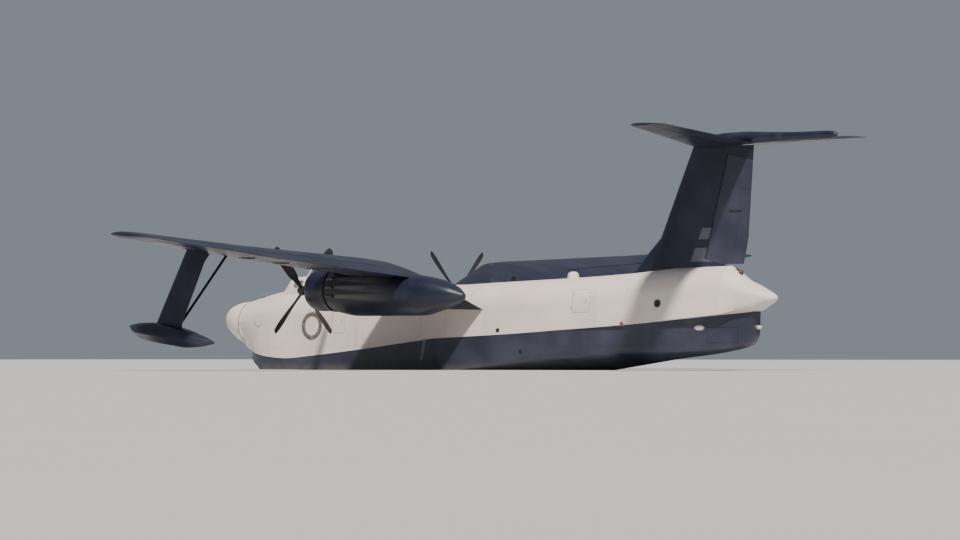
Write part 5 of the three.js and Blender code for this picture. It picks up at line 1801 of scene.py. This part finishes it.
marks = [mark(*cockpit["tick"], math.radians(turn)) for turn in cockpit["tickTurns"]]
marks.append(mark(*cockpit["needle"], cockpit["needleTurn"]))
piece("panelDials", repeated([dialSpots], standing(cockpit["bezel"], sides=18), blackRubber), blackRubber)
piece("panelMarkings", repeated([dialSpots], merged(*marks), whitePlain), whitePlain)
start, pitch, count, clear, up = cockpit["switches"]
across = [y for y in (start + pitch * k for k in range(count)) if abs(y) > clear]
switches = [(place(boardAft, y, up), aftward, upwards) for y in across]
controls = [repeated([switches], standing(cockpit["toggle"], sides=8), bareMetal)]
for y in cockpit["levers"]:
    controls.append(tube([place(aft, y, up) for aft, up in cockpit["lever"]], cockpit["leverThick"], sides=8))
    controls.append(bulb(cockpit["knobAft"], y, *cockpit["knob"], sides=12))
aft, up, radius = cockpit["wheel"]
start, sweep, steps, thick = cockpit["rim"]
sunk, lift, columnRadii = cockpit["column"]
pedalAft, half, pedalUp, corner = cockpit["pedal"]
for y in cockpit["wheels"]:
    hub = place(aft, y, up)
    rim = [hub + radial(math.radians(start + sweep * k / steps)) * radius for k in range(steps + 1)]
    controls.append(tube(rim, thick, sides=10))
    controls += [tube([hub, rim[k]], cockpit["spoke"], sides=8) for k in cockpit["spokes"]]
    controls.append(tube([place(boardAft - sunk, y, up + lift), hub + aftward * sunk], columnRadii, sides=14))
    for side in (y + shift for shift in cockpit["pedals"]):
        controls.append(softBox(pedalAft, around(side, half), pedalUp, corner))
        rod = [place(rodAft, side, rodUp) for rodAft, rodUp in cockpit["pedalRod"]]
        controls.append(tube(rod, cockpit["pedalRodThick"], sides=8))
piece("cockpitControls", merged(*controls), darkMetal)
deckTree = surface(deckShape(0))
wipers = []
for y in cockpit["wipers"]:
    for proud, path in cockpit["wiper"]:
        found = hits(deckTree, [place(aft, y + shift, 0) for aft, shift in path], downward)
        wipers.append(tube([spot + normal * proud for spot, normal in found], cockpit["wiperThick"], sides=8))
piece("screenWipers", merged(*wipers), blackRubber)
print("cockpit made")

# Bay insides: frames over the ceiling and down the walls, and two racks with their hooks
bayFittings = {
    "frames": 9, "frame": (0.1, 0.02, 0.03, 0.022, 0.004), "wallFoot": 3.7, "clear": (0.001, 0.002),
    "racks": (-0.28, 0.28), "rack": (0.3, 0.03, 4.33, 0.01), "hooks": (12.2, 12.7, 13.2, 13.7),
    "hook": ((0, 4.34), (0, 4.3), (0.03, 4.27), (0.05, 4.29)), "hookThick": 0.01,
}
(front, back), (near, far), ceiling = bay["aft"], bayY, bay["ceiling"]
inset, half, depth, thick, corner = bayFittings["frame"]
clear, wider = bayFittings["clear"]
parts = []
for k in range(bayFittings["frames"]):
    aft = around(front + inset + k * (back - front - 2 * inset) / (bayFittings["frames"] - 1), half)
    across, up = (near + wider, far - wider), (ceiling - depth, ceiling - clear)
    parts.append(softBox(aft, across, up, corner, steps=1))
    for wall in ((near + clear, near + thick), (far - thick, far - clear)):
        parts.append(softBox(aft, wall, (bayFittings["wallFoot"], ceiling - wider), corner, steps=1))
inset, half, low, corner = bayFittings["rack"]
for y in (nacelle["y"] + shift for shift in bayFittings["racks"]):
    parts.append(softBox((front + inset, back - inset), around(y, half), (low, ceiling - clear), corner))
    for hook in bayFittings["hooks"]:
        path = [place(hook + shift, y, up) for shift, up in bayFittings["hook"]]
        parts.append(tube(path, bayFittings["hookThick"], sides=8))
bothSides("bayFrames", merged(*parts), wornMetal)
print("bays made")

# Floor and light
stage = {
    "floorSize": 700, "floor": (0.56, 0.57, 0.56, 1),
    "sunFrom": (-0.44, 0.42, 0.79), "sunPower": 5.5, "sunColour": (1.0, 0.93, 0.86), "sunSoftness": 4.0,
    "sky": (0.52, 0.58, 0.66, 1), "skyPower": 0.42,
}


def makeFloor():
    half = stage["floorSize"] / 2
    mesh = bpy.data.meshes.new("floor")
    corners = [(-half, -half, 0), (half, -half, 0), (half, half, 0), (-half, half, 0)]
    mesh.from_pydata(corners, [], [(0, 1, 2, 3)])
    graph = Graph("floorFinish")
    mesh.materials.append(graph.finish(Base_Color=stage["floor"], Roughness=graph.noise(0.3, 3) * 0.1 + 0.6))
    added("floor", mesh)


def makeLight():
    data = bpy.data.lights.new("sun", "SUN")
    data.energy, data.color = stage["sunPower"], stage["sunColour"]
    data.angle = math.radians(stage["sunSoftness"])
    pointed(added("sun", data), Vector(stage["sunFrom"]), "Z", "Y")
    world = bpy.data.worlds.new("sky")
    world.use_nodes = True
    sky = world.node_tree.nodes["Background"].inputs
    sky["Color"].default_value, sky["Strength"].default_value = stage["sky"], stage["skyPower"]
    bpy.context.scene.world = world


makeFloor()
makeLight()
print("stage made")
